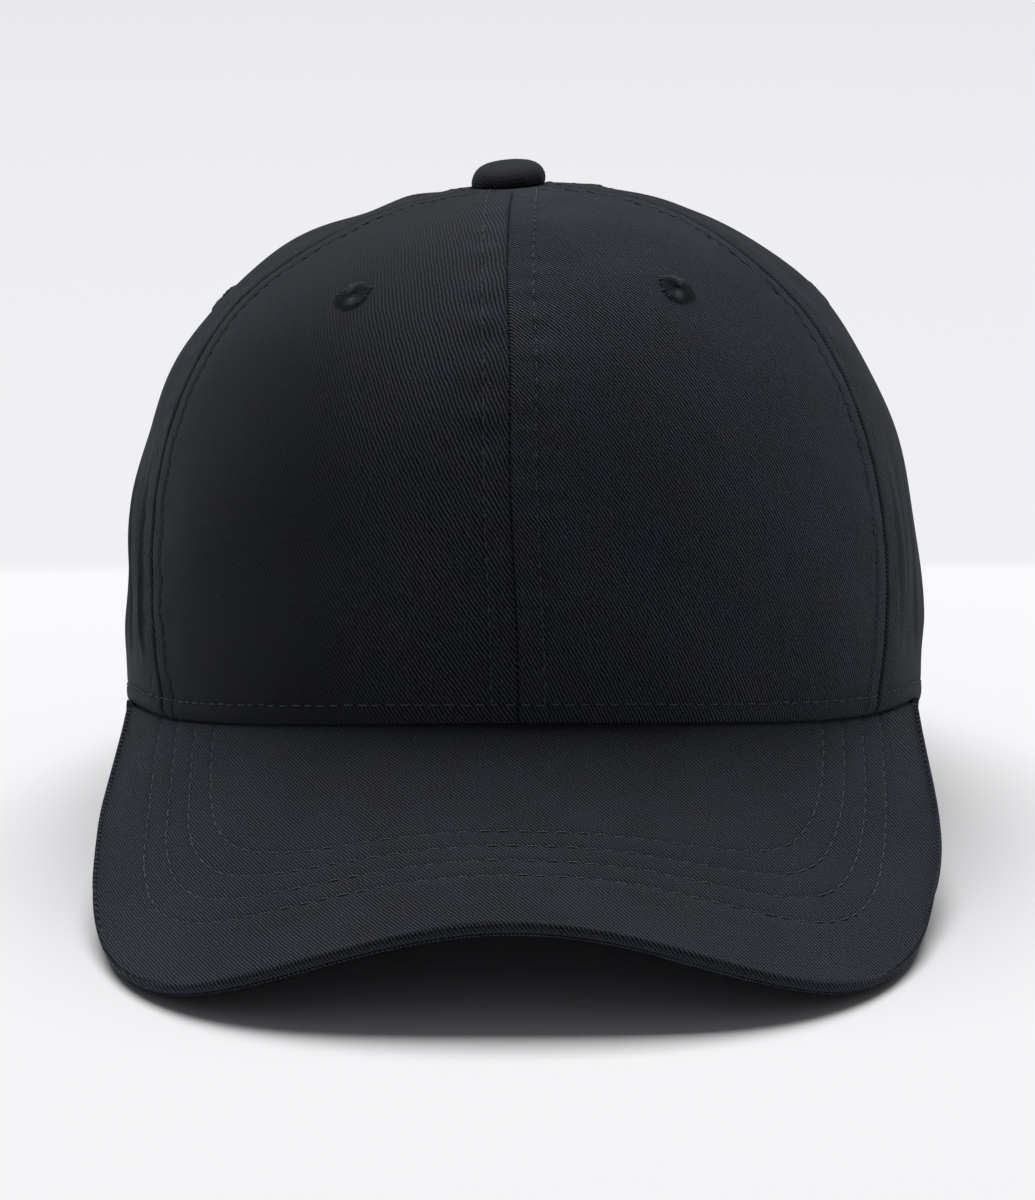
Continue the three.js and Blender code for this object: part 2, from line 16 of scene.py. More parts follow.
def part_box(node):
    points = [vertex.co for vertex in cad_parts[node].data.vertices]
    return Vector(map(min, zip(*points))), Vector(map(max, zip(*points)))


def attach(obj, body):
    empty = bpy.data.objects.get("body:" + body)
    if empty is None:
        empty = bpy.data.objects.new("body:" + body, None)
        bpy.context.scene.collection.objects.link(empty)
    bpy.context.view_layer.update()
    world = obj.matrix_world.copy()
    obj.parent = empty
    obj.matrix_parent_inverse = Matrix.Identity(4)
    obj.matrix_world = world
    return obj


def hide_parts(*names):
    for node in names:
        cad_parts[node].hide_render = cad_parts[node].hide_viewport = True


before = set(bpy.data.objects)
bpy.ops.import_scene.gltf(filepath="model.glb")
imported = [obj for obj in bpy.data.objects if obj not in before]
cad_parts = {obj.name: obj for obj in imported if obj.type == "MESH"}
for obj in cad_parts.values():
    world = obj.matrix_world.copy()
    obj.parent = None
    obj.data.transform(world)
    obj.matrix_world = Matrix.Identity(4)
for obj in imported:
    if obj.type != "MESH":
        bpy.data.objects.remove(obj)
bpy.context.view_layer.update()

MM = 0.001

# ---------------------------------------------------------------- driving dimensions
CROWN_HALF_WIDTH = 89.2
CROWN_HALF_DEPTH = 99.6
CROWN_HEIGHT = 113.2
TILT = math.radians(11.07)
RIM_TUCK = 0.99
TUCK_HEIGHT = 0.18
SIDE_ROUNDNESS = (2.49, 2.8)
FRONT_ROUNDNESS = (2.58, 3.24)
FRONT_ARCH = 3.9
FRONT_ARCH_ANGLE = 78.9
REST_ANGLES = (80, 132)
SIDE_SEAM_ANGLE = 59.2
SIDE_SEAM_BOW = 5
SIDE_SEAM_PULL = 8
BACK_SEAM_ANGLE = 120
CROWN_TOP = 0.972
CROWN_PEAK = {"height": 1.5, "radius": 0.25}

FABRIC = 1.2
SEAM_GAP = 0.12
SEAM_ROLL = 0.9
SEAM_DEPTH = 1.05
SEAM_ROW = 5.4
SEAM_ROW_START = 3.0
RIM_ROLL = 0.7
RIM_ROW = 4.0
LINING_DEPTH = 1.8
BUCKRAM_INSET = 7.0
BUCKRAM_THICKNESS = 0.6
TAPE_WIDTH = 13.0

BRIM_LENGTH = 68.7
BRIM_SLOPE = math.radians(28.4)
BRIM_SIDE_SLOPE = math.radians(25.7)
BRIM_HALF_WIDTH = 89.3
BRIM_END_TAPER = 2.9
BRIM_END_DROP = 2.3
BRIM_END_START = 0.72
BRIM_SQUARENESS = 3.8
BRIM_END_ANGLE = 76.4
BRIM_END_Y = -23.2
BRIM_BEND_DEPTH = 58.8
BRIM_BEND_WIDTH = 73.6
BRIM_FLAT_END = 0.94
BRIM_GAP = 0.3
BRIM_THICKNESS = 3.2
BRIM_ROWS = [{"side": 14.2 + 4.9 * k, "front": 16.4 + 5.0 * k} for k in range(4)]
BRIM_ROW_POWER = 7.0
BRIM_ROW_SAG = 15.5

EYELET_SHARE = 0.474
EYELET_ANGLES = {"front": 29.7, "side": 91, "back": 150}
EYELET_RADIUS = 4.1
EYELET_HOLE = 0.4
EYELET_WRAPS = 38

BUTTON_LEAN = 0.045
BUTTON_NOD = 0.12
BUTTON_SINK = 0.5
BUTTON_SHIFT = -1.5

CROWN_PITCH = 3.15
BRIM_PITCH = 3.9
THREAD = 0.15
THREAD_SINK = 0.3
WAVE_COUNT = 7

LIFT = CROWN_HALF_DEPTH * RIM_TUCK * math.sin(TILT)


# ---------------------------------------------------------------- small helpers
def lerp(a, b, t):
    return a + (b - a) * t


def smoothstep(x, low, high):
    t = np.clip((np.asarray(x, float) - low) / (high - low), 0, 1)
    return t * t * (3 - 2 * t)


def bell(x, width):
    return np.exp(-((np.asarray(x, float) / width) ** 2))


def unit(v):
    return v / np.maximum(np.linalg.norm(v, axis=-1, keepdims=True), 1e-12)


def superellipse(turn, power):
    """The radius of a rounded square of half width 1, at an angle in radians."""
    return (np.abs(np.sin(turn)) ** power + np.abs(np.cos(turn)) ** power) ** (-1 / power)


def turned_edge(distance, roll):
    """How far a rolled edge has dropped, from 0 inside the roll to nearly 1 at the very edge."""
    part = np.clip(1 - distance / roll, 0, 1)
    return 1 - np.sqrt(1 - part**2 * 0.999)


def flat_places(across, along):
    """Flat cloth coordinates for a grid, from two arrays that fit each other."""
    return np.stack(np.broadcast_arrays(across, along), -1)


def waves(u, v, seed, wavelength):
    """A smooth irregular field of about -1 to 1, the same each run."""
    random = np.random.default_rng(seed)
    total = 0
    for _ in range(WAVE_COUNT):
        turn, phase = random.uniform(0, 2 * math.pi, 2)
        k = 2 * math.pi / (wavelength * random.uniform(0.7, 1.5))
        total = total + np.sin(k * (u * math.cos(turn) + v * math.sin(turn)) + phase)
    return total / math.sqrt(WAVE_COUNT)


# ---------------------------------------------------------------- crown surface
def level(points):
    """From the standing cap back to the crown's own level frame, as x, y and z."""
    y = points[..., 1] - Y_SHIFT
    z = points[..., 2] - LIFT
    tilted = y * math.cos(TILT) - z * math.sin(TILT), y * math.sin(TILT) + z * math.cos(TILT)
    return points[..., 0], *tilted


def stand(x, y, z):
    """From the crown's own level frame to the standing cap."""
    forward = y * math.cos(TILT) + z * math.sin(TILT) + Y_SHIFT
    return np.stack([x, forward, z * math.cos(TILT) - y * math.sin(TILT) + LIFT], axis=-1)


def height_share(share):
    return 1 - (1 - np.clip(share, 0, 1)) ** SIDE_ROUNDNESS[0]


def rim_height(angle):
    away = np.abs((np.asarray(angle, float) + 180) % 360 - 180)
    arch = FRONT_ARCH * 0.5 * (1 + np.cos(math.pi * np.minimum(away / FRONT_ARCH_ANGLE, 1)))
    y = -CROWN_HALF_DEPTH * RIM_TUCK * np.cos(np.radians(angle))
    above_floor = (LIFT - y * math.sin(TILT)) / math.cos(TILT)
    return arch - above_floor * smoothstep(away, *REST_ANGLES)


def outer_point(angle, share):
    angle, share = np.broadcast_arrays(np.asarray(angle, float), np.asarray(share, float))
    w = height_share(share)
    facing = np.maximum(np.cos(np.radians(angle)), 0) ** 1.5
    plan = lerp(SIDE_ROUNDNESS[0], FRONT_ROUNDNESS[0], facing)
    rise = lerp(SIDE_ROUNDNESS[1], FRONT_ROUNDNESS[1], facing)
    tuck = 1 - (1 - RIM_TUCK) * (1 - np.minimum(w / TUCK_HEIGHT, 1)) ** 2
    radius = (1 - w**rise) ** (1 / plan) * tuck
    foot = rim_height(angle)
    peak = CROWN_PEAK["height"] * np.exp(-((radius / CROWN_PEAK["radius"]) ** 2))
    return stand(
        CROWN_HALF_WIDTH * np.sin(np.radians(angle)) * radius,
        -CROWN_HALF_DEPTH * np.cos(np.radians(angle)) * radius,
        foot + (CROWN_HEIGHT - foot) * w + peak,
    )


def degree_step(angle, share):
    """How a point of the crown moves for one degree round it."""
    return outer_point(angle + 0.5, share) - outer_point(angle - 0.5, share)


def crown_normal(angle, share):
    low = np.maximum(np.asarray(share, float) - 0.004, 0)
    along = outer_point(angle, low + 0.008) - outer_point(angle, low)
    normal = np.cross(degree_step(np.asarray(angle, float), share), along)
    normal[..., 2] *= smoothstep(share, 0, 0.02)
    return unit(normal)


def crown_point(angle, share, depth=0.0):
    return outer_point(angle, share) - crown_normal(angle, share) * np.asarray(depth, float)[..., None]


def share_at_rise(angle, rise):
    """The share at which the panel stands a given height above its own rim."""
    angle, rise = np.broadcast_arrays(np.asarray(angle, float), np.asarray(rise, float))
    rim = outer_point(angle, np.zeros_like(angle))[..., 2]
    low = np.zeros_like(angle)
    high = np.full_like(angle, 0.7)
    for _ in range(30):
        middle = (low + high) / 2
        below = outer_point(angle, middle)[..., 2] - rim < rise
        low = np.where(below, middle, low)
        high = np.where(below, high, middle)
    return low


def side_seam(share):
    w = height_share(share)
    return SIDE_SEAM_ANGLE + SIDE_SEAM_BOW * np.sin(math.pi * w) - SIDE_SEAM_PULL * smoothstep(w, 0.75, 1)


def fixed_seam(angle):
    return lambda share: np.full_like(np.asarray(share, float), angle)


SEAMS = {
    "front": fixed_seam(0),
    "side": side_seam,
    "rear": fixed_seam(BACK_SEAM_ANGLE),
    "back": fixed_seam(180),
}


def frame_shift():
    """Where the CAD frame puts the crown along Y, read from the front panel's box."""
    heights = np.linspace(0, CROWN_TOP, 13)
    foremost = outer_point(np.full(13, 0.1), heights)[:, 1].min()
    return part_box("front_panel_left")[0][1] / MM - foremost


Y_SHIFT = 0.0
Y_SHIFT = frame_shift()


def settle(points):
    """Nudges a made piece out of true by a millimetre or two, as a worn cap settles.

    The brim's board is a CAD part, so it doesn't move with the cloth round it.
    """
    x, y, z = points[:, 0], points[:, 1] - Y_SHIFT, points[:, 2]
    front = 1 - smoothstep(y, -20, 10)
    whole = 0.7 * smoothstep(y, -110, -80) * (1 - smoothstep(y, 10, 60))
    low = (whole + 1.2 * bell(x, 40) * front) * (1 - smoothstep(z, 45, 95))
    high = (1.5 * bell(x, 70) - 2.5 * bell(x, 20)) * smoothstep(z, 110, 130)
    swell = 1.1 * smoothstep(x, -5, 18) * (1 - smoothstep(x, 30, 62)) * smoothstep(z, 95, 125)
    behind = y - CROWN_HEIGHT * math.sin(TILT)
    tipped = 0.11 * behind * bell(np.hypot(x, behind), 22) * smoothstep(z, 90, 120)
    corners = 1.6 * smoothstep(np.abs(x), 55, 86) * bell(z - 26, 16) * bell(y + 25, 30)
    return points + np.stack([low + high, 0 * x, swell + tipped + corners], -1)


# ---------------------------------------------------------------- meshes
def make_object(name, points, faces, uv=None, smooth=True):
    mesh = bpy.data.meshes.new(name)
    mesh.from_pydata((settle(np.asarray(points)) * MM).tolist(), [], [tuple(f) for f in faces])
    mesh.update()
    if uv is not None:
        layer = mesh.uv_layers.new(name="cloth")
        corners = np.empty(len(mesh.loops), dtype=np.int32)
        mesh.loops.foreach_get("vertex_index", corners)
        layer.data.foreach_set("uv", (np.asarray(uv)[corners] * MM).astype(np.float32).ravel())
    if smooth:
        mesh.polygons.foreach_set("use_smooth", np.ones(len(mesh.polygons), dtype=bool))
    piece = bpy.data.objects.new(name, mesh)
    bpy.context.scene.collection.objects.link(piece)
    return piece


def sheet_faces(rows, columns, ring=False):
    """Quads of a closed slab: a top grid, a bottom grid and the walls round their edge."""
    ids = np.arange(2 * rows * columns).reshape(2, rows, columns)
    if ring:
        ids = np.concatenate([ids, ids[:, :, :1]], axis=2)
    top, bottom = ids
    quads = [
        np.stack([top[:-1, :-1], top[:-1, 1:], top[1:, 1:], top[1:, :-1]], -1).reshape(-1, 4),
        np.stack([bottom[:-1, :-1], bottom[1:, :-1], bottom[1:, 1:], bottom[:-1, 1:]], -1).reshape(-1, 4),
        np.stack([top[0, :-1], bottom[0, :-1], bottom[0, 1:], top[0, 1:]], -1),
        np.stack([top[-1, :-1], top[-1, 1:], bottom[-1, 1:], bottom[-1, :-1]], -1),
    ]
    if not ring:
        quads.append(np.stack([top[:-1, 0], top[1:, 0], bottom[1:, 0], bottom[:-1, 0]], -1))
        quads.append(np.stack([top[:-1, -1], bottom[:-1, -1], bottom[1:, -1], top[1:, -1]], -1))
    return np.concatenate(quads)


def outward(points, faces):
    """The faces, turned round if they point into the body."""
    a, b, c, d = (points[faces[:, k]] for k in range(4))
    volume = np.einsum("ij,ij->i", a, np.cross(b, c)).sum() + np.einsum("ij,ij->i", a, np.cross(c, d)).sum()
    return faces if volume > 0 else faces[:, ::-1]


def slab(name, top, bottom, uv, ring=False):
    rows, columns = top.shape[:2]
    points = np.concatenate([top.reshape(-1, 3), bottom.reshape(-1, 3)])
    flat_uv = np.concatenate([uv.reshape(-1, 2)] * 2)
    return make_object(name, points, outward(points, sheet_faces(rows, columns, ring)), flat_uv)


def grid_normals(grid):
    return unit(np.cross(np.gradient(grid, axis=1), np.gradient(grid, axis=0)))


def lengths_along(points, axis=0):
    steps = np.linalg.norm(np.diff(points, axis=axis), axis=-1)
    zero = np.zeros_like(np.take(steps, [0], axis=axis))
    return np.concatenate([zero, np.cumsum(steps, axis=axis)], axis=axis)


def dress(piece, node_names, material, body="cap"):
    piece.data.materials.clear()
    piece.data.materials.append(material)
    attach(piece, body)
    if node_names:
        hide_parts(*node_names)
    return piece


# ---------------------------------------------------------------- stitches
class Thread:
    """Collects stitches into one mesh: each is a bead that dips into the cloth at both ends."""

    def __init__(self):
        self.points = []
        self.faces = []
        self.uv = []
        self.count = 0

    def bead(self, path, normals, start, length, proud):
        travel = lengths_along(path)
        t = np.linspace(0, 1, 9)
        at = start + length * t
        centre = np.stack([np.interp(at, travel, path[:, k]) for k in range(3)], -1)
        up = unit(np.stack([np.interp(at, travel, normals[:, k]) for k in range(3)], -1))
        arch = np.sqrt(np.sin(math.pi * t))
        centre = centre + up * (arch * (proud + THREAD_SINK) - THREAD_SINK)[:, None]
        along = unit(np.gradient(centre, axis=0))
        side = unit(np.cross(along, up))
        up = np.cross(side, along)
        width = THREAD * (0.55 + 0.45 * np.sqrt(np.sin(math.pi * np.clip(t, 0.03, 0.97))))
        turns = np.arange(6) * math.pi / 3
        ring = side[:, None] * np.cos(turns)[None, :, None] + up[:, None] * np.sin(turns)[None, :, None]
        body = (centre[:, None] + ring * width[:, None, None]).reshape(-1, 3)
        ids = self.count + np.arange(9 * 6).reshape(9, 6)
        near, far = ids, np.roll(ids, -1, axis=1)
        quads = np.stack([near[:-1], far[:-1], far[1:], near[1:]], -1).reshape(-1, 4)
        self.points.append(body)
        self.faces.extend(quads[:, ::-1].tolist())
        self.faces.append(ids[0].tolist())
        self.faces.append(ids[-1][::-1].tolist())
        self.uv.append(np.stack([np.repeat(at, 6), np.tile(turns, 9)], -1))
        self.count += len(body)

    def row(self, path, normals, pitch, seed, share=0.74, proud=0.1):
        random = np.random.default_rng(seed)
        total = lengths_along(path)[-1]
        number = max(int(total // pitch), 1)
        step = total / number
        for i in range(number):
            start = step * (i + (1 - share) / 2) + random.normal(0, 0.04)
            length = step * share * random.uniform(0.74, 1.1)
            wander = random.normal(0, 0.05)
            self.bead(path + wander, normals, start, length, proud)

    def build(self, name, material="thread"):
        piece = make_object(name, np.concatenate(self.points), self.faces, np.concatenate(self.uv))
        dress(piece, [], MATERIALS[material])


# ---------------------------------------------------------------- materials
class Paint:
    """A new material, with short ways to add and wire its nodes."""

    def __init__(self, name):
        self.material = bpy.data.materials.new(name)
        self.material.use_nodes = True
        self.nodes = self.material.node_tree.nodes
        self.links = self.material.node_tree.links
        self.shader = self.nodes["Principled BSDF"]

    def feed(self, socket, value):
        """Gives a socket a number or a colour of its own, or links a node's output to it."""
        if isinstance(value, (int, float)):
            socket.default_value = value
        elif isinstance(value, tuple):
            socket.default_value = (*value, 1)
        else:
            self.links.new(value, socket)

    def surface(self, inputs):
        for name, value in inputs.items():
            self.feed(self.shader.inputs[name], value)

    def cloth(self):
        """The cloth's own flat coordinates, in metres."""
        node = self.nodes.new("ShaderNodeUVMap")
        node.uv_map = "cloth"
        return node.outputs["UV"]

    def geometry(self, output):
        return self.nodes.new("ShaderNodeNewGeometry").outputs[output]

    def split(self, vector):
        node = self.nodes.new("ShaderNodeSeparateXYZ")
        self.links.new(vector, node.inputs[0])
        return node.outputs

    def noise(self, vector, scale, detail=3.0, roughness=0.55):
        node = self.nodes.new("ShaderNodeTexNoise")
        node.inputs["Scale"].default_value = scale
        node.inputs["Detail"].default_value = detail
        node.inputs["Roughness"].default_value = roughness
        self.links.new(vector, node.inputs["Vector"])
        return node.outputs["Fac"]

    def math(self, operation, *values):
        node = self.nodes.new("ShaderNodeMath")
        node.operation = operation
        for socket, value in zip(node.inputs, values):
            self.feed(socket, value)
        return node.outputs[0]

    def wave(self, turns):
        """A sine from 0 to 1 that repeats once in every turn."""
        sine = self.math("SINE", self.math("MULTIPLY", turns, 2 * math.pi))
        return self.math("MULTIPLY_ADD", sine, 0.5, 0.5)

    def along(self, vector, direction, pitch):
        """How many pitches, in millimetres, a point lies along a direction of the cloth."""
        node = self.nodes.new("ShaderNodeVectorMath")
        node.operation = "DOT_PRODUCT"
        node.inputs[1].default_value = (direction[0] / (pitch * MM), direction[1] / (pitch * MM), 0)
        self.links.new(vector, node.inputs[0])
        return node.outputs["Value"]

    def fade(self, value, near, far):
        """A smooth change from 0 to 1 between two distances in millimetres."""
        node = self.nodes.new("ShaderNodeMapRange")
        node.interpolation_type = "SMOOTHSTEP"
        node.inputs["From Min"].default_value = near * MM
        node.inputs["From Max"].default_value = far * MM
        self.links.new(value, node.inputs["Value"])
        return node.outputs[0]

    def ramp(self, value, *stops):
        node = self.nodes.new("ShaderNodeValToRGB")
        while len(node.color_ramp.elements) < len(stops):
            node.color_ramp.elements.new(0.5)
        for element, (place, colour) in zip(node.color_ramp.elements, stops):
            element.position = place
            element.color = (*colour, 1)
        self.links.new(value, node.inputs["Fac"])
        return node.outputs["Color"]

    def mix(self, factor, a, b, mode="MIX"):
        node = self.nodes.new("ShaderNodeMix")
        node.data_type = "RGBA"
        node.blend_type = mode
        for index, value in ((0, factor), (6, a), (7, b)):
            self.feed(node.inputs[index], value)
        return node.outputs[2]

    def bump(self, height, strength, distance):
        node = self.nodes.new("ShaderNodeBump")
        node.inputs["Strength"].default_value = strength
        node.inputs["Distance"].default_value = distance * MM
        self.links.new(height, node.inputs["Height"])
        self.links.new(node.outputs["Normal"], self.shader.inputs["Normal"])


# The twill's dark end is painted shade for the rib valleys and its light end a painted highlight on the
# crests, round the navy cloth's own colour.
TWILL_VALLEY_SHADE = (0.0010, 0.0020, 0.0038)
TWILL_CREST_HIGHLIGHT = (0.0440, 0.0464, 0.0640)
TWILL_FLECK = (0.085, 0.09, 0.10)
YARN_BEAD = 0.62
MOTTLES = [
    {"scale": 34, "detail": 4, "spread": 0.2, "low": (0.86, 0.88, 0.90), "high": (1.12, 1.11, 1.1)},
    {"scale": 95, "detail": 2, "spread": 0.15, "low": (0.93, 1.0, 1.03), "high": (1.07, 1.0, 0.98)},
]


def twill_ribs(paint, cloth, slope, pitch):
    """The height of slanted ribs, not quite straight, and of the yarn's beads along them."""
    across = (math.sin(math.radians(slope)), math.cos(math.radians(slope)))
    down = (math.cos(math.radians(slope)), -math.sin(math.radians(slope)))
    drift = paint.math("MULTIPLY", paint.noise(cloth, 150, 2), 1.2)
    flutter = paint.math("MULTIPLY", paint.noise(cloth, 1300, 1), 0.5)
    ribs = paint.math("ADD", paint.along(cloth, across, pitch), paint.math("ADD", drift, flutter))
    rib = paint.wave(ribs)
    step = paint.math("ADD", paint.along(cloth, down, YARN_BEAD), paint.math("MULTIPLY", ribs, 0.33))
    bead = paint.wave(step)
    return paint.math("MULTIPLY", rib, paint.math("MULTIPLY_ADD", bead, 0.5, 0.5)), bead


def twill(name, slope, pitch=0.68, painted_light_gain=1.0, contrast=1.0, fade=(20, 60, 1, 1)):
    """Cotton twill: slanted ribs of beaded yarn, softer and mottled in patches.

    The colour ramp paints shade into the rib valleys and a highlight onto the crests, and the gain
    scales the whole cloth as painted light. fade = (near, far, share, tone) lowers the ribs' contrast
    to a share, and the colour to a tone, between two distances in millimetres from the cloth's own
    origin line: a tone below 1 is painted shade, a tone above 1 a painted highlight.
    """
    paint = Paint(name)
    cloth = paint.cloth()
    weave, bead = twill_ribs(paint, cloth, slope, pitch)
    softness = paint.ramp(paint.noise(cloth, 48, 3), (0.35, (0.55,) * 3), (0.6, (1.0,) * 3))
    near, far, share, tone = fade
    distance = paint.fade(paint.math("ABSOLUTE", paint.split(cloth)[0]), near, far)
    keep = paint.math("MULTIPLY", softness, contrast)
    keep = paint.math("MULTIPLY", keep, paint.math("MULTIPLY_ADD", distance, share - 1.0, 1.0))
    grain = paint.noise(cloth, 2100, 2, 0.7)
    height = paint.math("MULTIPLY", paint.math("SUBTRACT", weave, 0.4), keep)
    height = paint.math("ADD", height, 0.4)
    height = paint.math("MULTIPLY_ADD", paint.math("SUBTRACT", grain, 0.5), 0.6, height)
    # The gain scales both colour ends as painted light, brighter or darker for each copy of the twill.
    dark, light = (tuple(c * painted_light_gain for c in ends) for ends in (TWILL_VALLEY_SHADE, TWILL_CREST_HIGHLIGHT))
    # The ramp paints shade into the rib valleys and a highlight onto the crests.
    colour = paint.ramp(height, (0.1, dark), (0.82, light))
    # Painted shade where the tone is below 1 and painted highlight where it is above 1, growing away from
    # the origin line.
    painted_light_tone = paint.ramp(distance, (0.0, (1.0,) * 3), (1.0, (tone * 0.97, tone, tone * 1.01)))
    colour = paint.mix(1.0, colour, painted_light_tone, "MULTIPLY")
    for mottle in MOTTLES:
        ends = (0.5 - mottle["spread"], mottle["low"]), (0.5 + mottle["spread"], mottle["high"])
        tint = paint.ramp(paint.noise(cloth, mottle["scale"], mottle["detail"]), *ends)
        colour = paint.mix(1.0, colour, tint, "MULTIPLY")
    fleck = paint.math("GREATER_THAN", paint.noise(cloth, 2600, 1), 0.79)
    paint.surface({
        "Base Color": paint.mix(paint.math("MULTIPLY", fleck, 0.5), colour, TWILL_FLECK),
        "Roughness": paint.math("MULTIPLY_ADD", bead, 0.15, 0.78),
        "Specular IOR Level": 0.18,
        "Sheen Weight": 0.055,
        "Sheen Roughness": 0.5,
        "Sheen Tint": (0.72, 0.86, 1.0),
    })
    paint.bump(height, 1.0, 0.15)
    return paint.material


def thread_material(name, colour, sheen):
    """Twisted sewing thread: plies wind round it as pale and dark bands."""
    paint = Paint(name)
    cloth = paint.cloth()
    twist = paint.along(cloth, (1, 0), 0.42)
    ply = paint.wave(paint.math("ADD", twist, paint.along(cloth, (0, 1), 2 * math.pi)))
    dark = tuple(c * 0.62 for c in colour)
    paint.surface({
        "Base Color": paint.ramp(ply, (0.1, dark), (0.8, colour)),
        "Roughness": 0.55,
        "Sheen Weight": sheen,
        "Specular IOR Level": 0.2,
    })
    paint.bump(ply, 0.5, 0.05)
    return paint.material


def woven(name, dark, light, pitch=0.5, roughness=0.85):
    """Plain weave for linings, tapes and the satin label."""
    paint = Paint(name)
    cloth = paint.cloth()
    over = paint.math("MULTIPLY", paint.along(cloth, (1, 0), pitch), math.pi)
    under = paint.math("MULTIPLY", paint.along(cloth, (0, 1), pitch), math.pi)
    weave = paint.math("MULTIPLY", paint.math("SINE", over), paint.math("SINE", under))
    weave = paint.math("MULTIPLY_ADD", weave, 0.5, 0.5)
    uneven = paint.noise(cloth, 500, 3)
    weave = paint.math("MULTIPLY_ADD", uneven, 0.5, paint.math("MULTIPLY", weave, 0.6))
    paint.surface({
        "Base Color": paint.ramp(weave, (0.3, dark), (0.85, light)),
        "Roughness": roughness,
        "Sheen Weight": 0.1,
    })
    paint.bump(weave, 0.5, 0.06)
    return paint.material


def board_material(name):
    """Pale moulded plastic with a fine grain."""
    paint = Paint(name)
    grain = paint.noise(paint.geometry("Position"), 900, 4)
    tone = paint.ramp(grain, (0.3, (0.62, 0.62, 0.6)), (0.7, (0.74, 0.74, 0.72)))
    paint.surface({"Base Color": tone, "Roughness": 0.5})
    paint.bump(grain, 0.2, 0.05)
    return paint.material


def antique_metal(name):
    """Antiqued plated steel: brushed upright, darker in blotches, brighter where it rubs."""
    paint = Paint(name)
    place = paint.geometry("Position")
    stretch = paint.nodes.new("ShaderNodeMapping")
    stretch.inputs["Scale"].default_value = (1, 1, 14)
    paint.links.new(place, stretch.inputs["Vector"])
    brushed = paint.noise(stretch.outputs[0], 700, 4)
    blotch = paint.noise(place, 160, 3)
    edge = paint.geometry("Pointiness")
    tone = paint.ramp(blotch, (0.35, (0.16, 0.145, 0.12)), (0.7, (0.34, 0.31, 0.26)))
    worn = paint.ramp(edge, (0.51, (0, 0, 0)), (0.56, (1, 1, 1)))
    paint.surface({
        "Base Color": paint.mix(worn, tone, (0.55, 0.52, 0.46)),
        "Metallic": 1.0,
        "Roughness": paint.math("MULTIPLY_ADD", brushed, 0.3, 0.22),
    })
    paint.bump(brushed, 0.15, 0.03)
    return paint.material


# Besides fading the ribs, these paint shade across the front panels away from the centre seam, and a
# painted highlight towards the brim's ends.
RIGHT_FADE_AND_SHADE = (10, 46, 0.2, 0.52)
LEFT_FADE_AND_SHADE = (25, 75, 0.8, 0.95)
BRIM_FADE_AND_HIGHLIGHT = (30, 72, 1, 1.2)
LABEL_COLOUR = (0.03, 0.032, 0.036)
LABEL_ENDS = [tuple(c * share for c in LABEL_COLOUR) for share in (0.8, 1.2)]

MATERIALS = {
    # The gains differ between copies of one twill as painted light, lit on some panels and shaded on
    # others; the brim underside's 1.6 is painted fill light under the brim.
    "panel_right": twill("twill_front_right", 60, pitch=0.78, painted_light_gain=1.2, contrast=2.6, fade=RIGHT_FADE_AND_SHADE),
    "panel_left": twill("twill_front_left", 58, painted_light_gain=1.46, contrast=3.4, fade=LEFT_FADE_AND_SHADE),
    "panel_side_right": twill("twill_side_right", 62, painted_light_gain=0.7, contrast=0.9),
    "panel_side_left": twill("twill_side_left", 55, painted_light_gain=0.84, contrast=1.2),
    "panel_back": twill("twill_back", 60, painted_light_gain=0.95, contrast=1.6),
    "brim": twill("twill_brim", 52, painted_light_gain=1.03, contrast=1.9, fade=BRIM_FADE_AND_HIGHLIGHT),
    "brim_under": twill("twill_brim_under_painted_fill", 120, painted_light_gain=1.6, contrast=1.6),
    "button": twill("twill_button", 50, pitch=0.5, contrast=0.5, painted_light_gain=0.78),
    "strap": twill("twill_strap", 45),
    "lining": woven("tape_weave", (0.009, 0.010, 0.012), (0.03, 0.033, 0.038)),
    "sweat": twill("twill_sweatband", 45, pitch=0.6),
    "buckram": woven("buckram_mesh", (0.30, 0.30, 0.28), (0.68, 0.68, 0.65), 1.2),
    "thread": thread_material("sewing_thread", (0.056, 0.064, 0.078), 0.05),
    "thread_dull": thread_material("sewing_thread_dull", (0.082, 0.092, 0.110), 0.03),
    "eyelet": thread_material("eyelet_thread", (0.024, 0.031, 0.043), 0.03),
    "label": woven("label_satin", *LABEL_ENDS, 0.28, 0.45),
    "board": board_material("brim_board_plastic"),
    "metal": antique_metal("antique_steel"),
}


# ---------------------------------------------------------------- crown panels
PANEL_PLAN = {
    "front": ("front", "side"),
    "side": ("side", "rear"),
    "back": ("rear", "back"),
}
SIDES = {"left": 1, "right": -1}


def row_shares():
    """Shares up a panel, closer together at the turned rim."""
    rim = np.linspace(0, 0.03, 16)
    return np.concatenate([rim, np.linspace(0.03, CROWN_TOP, 250)[1:]])


def panel_layout(low_seam, high_seam, shares):
    """Angles and distances from both seams for every point of a panel's grid."""
    fine = np.linspace(0, 1, 61)
    low = low_seam(shares)[:, None]
    high = high_seam(shares)[:, None]
    angles = lerp(low, high, fine[None])
    across = lengths_along(outer_point(angles, shares[:, None] + 0 * angles), axis=1)
    width = across[:, -1:]
    zone = np.minimum(9, 0.4 * width)
    near = np.linspace(0, 1, 26) ** 1.3
    middle = np.linspace(0, 1, 62)[1:-1]
    inset = SEAM_GAP / 2 * (1 - 0.8 * smoothstep(shares, 0.86, 0.93))[:, None]
    low_part = inset + (zone - inset) * near
    middle_part = lerp(zone, width - zone, middle)
    high_part = width - inset - (zone - inset) * near[::-1]
    distance = np.concatenate([low_part, middle_part, high_part], axis=1)
    turned = np.stack([np.interp(distance[i], across[i], angles[i]) for i in range(len(shares))])
    return turned, distance, width - distance, width


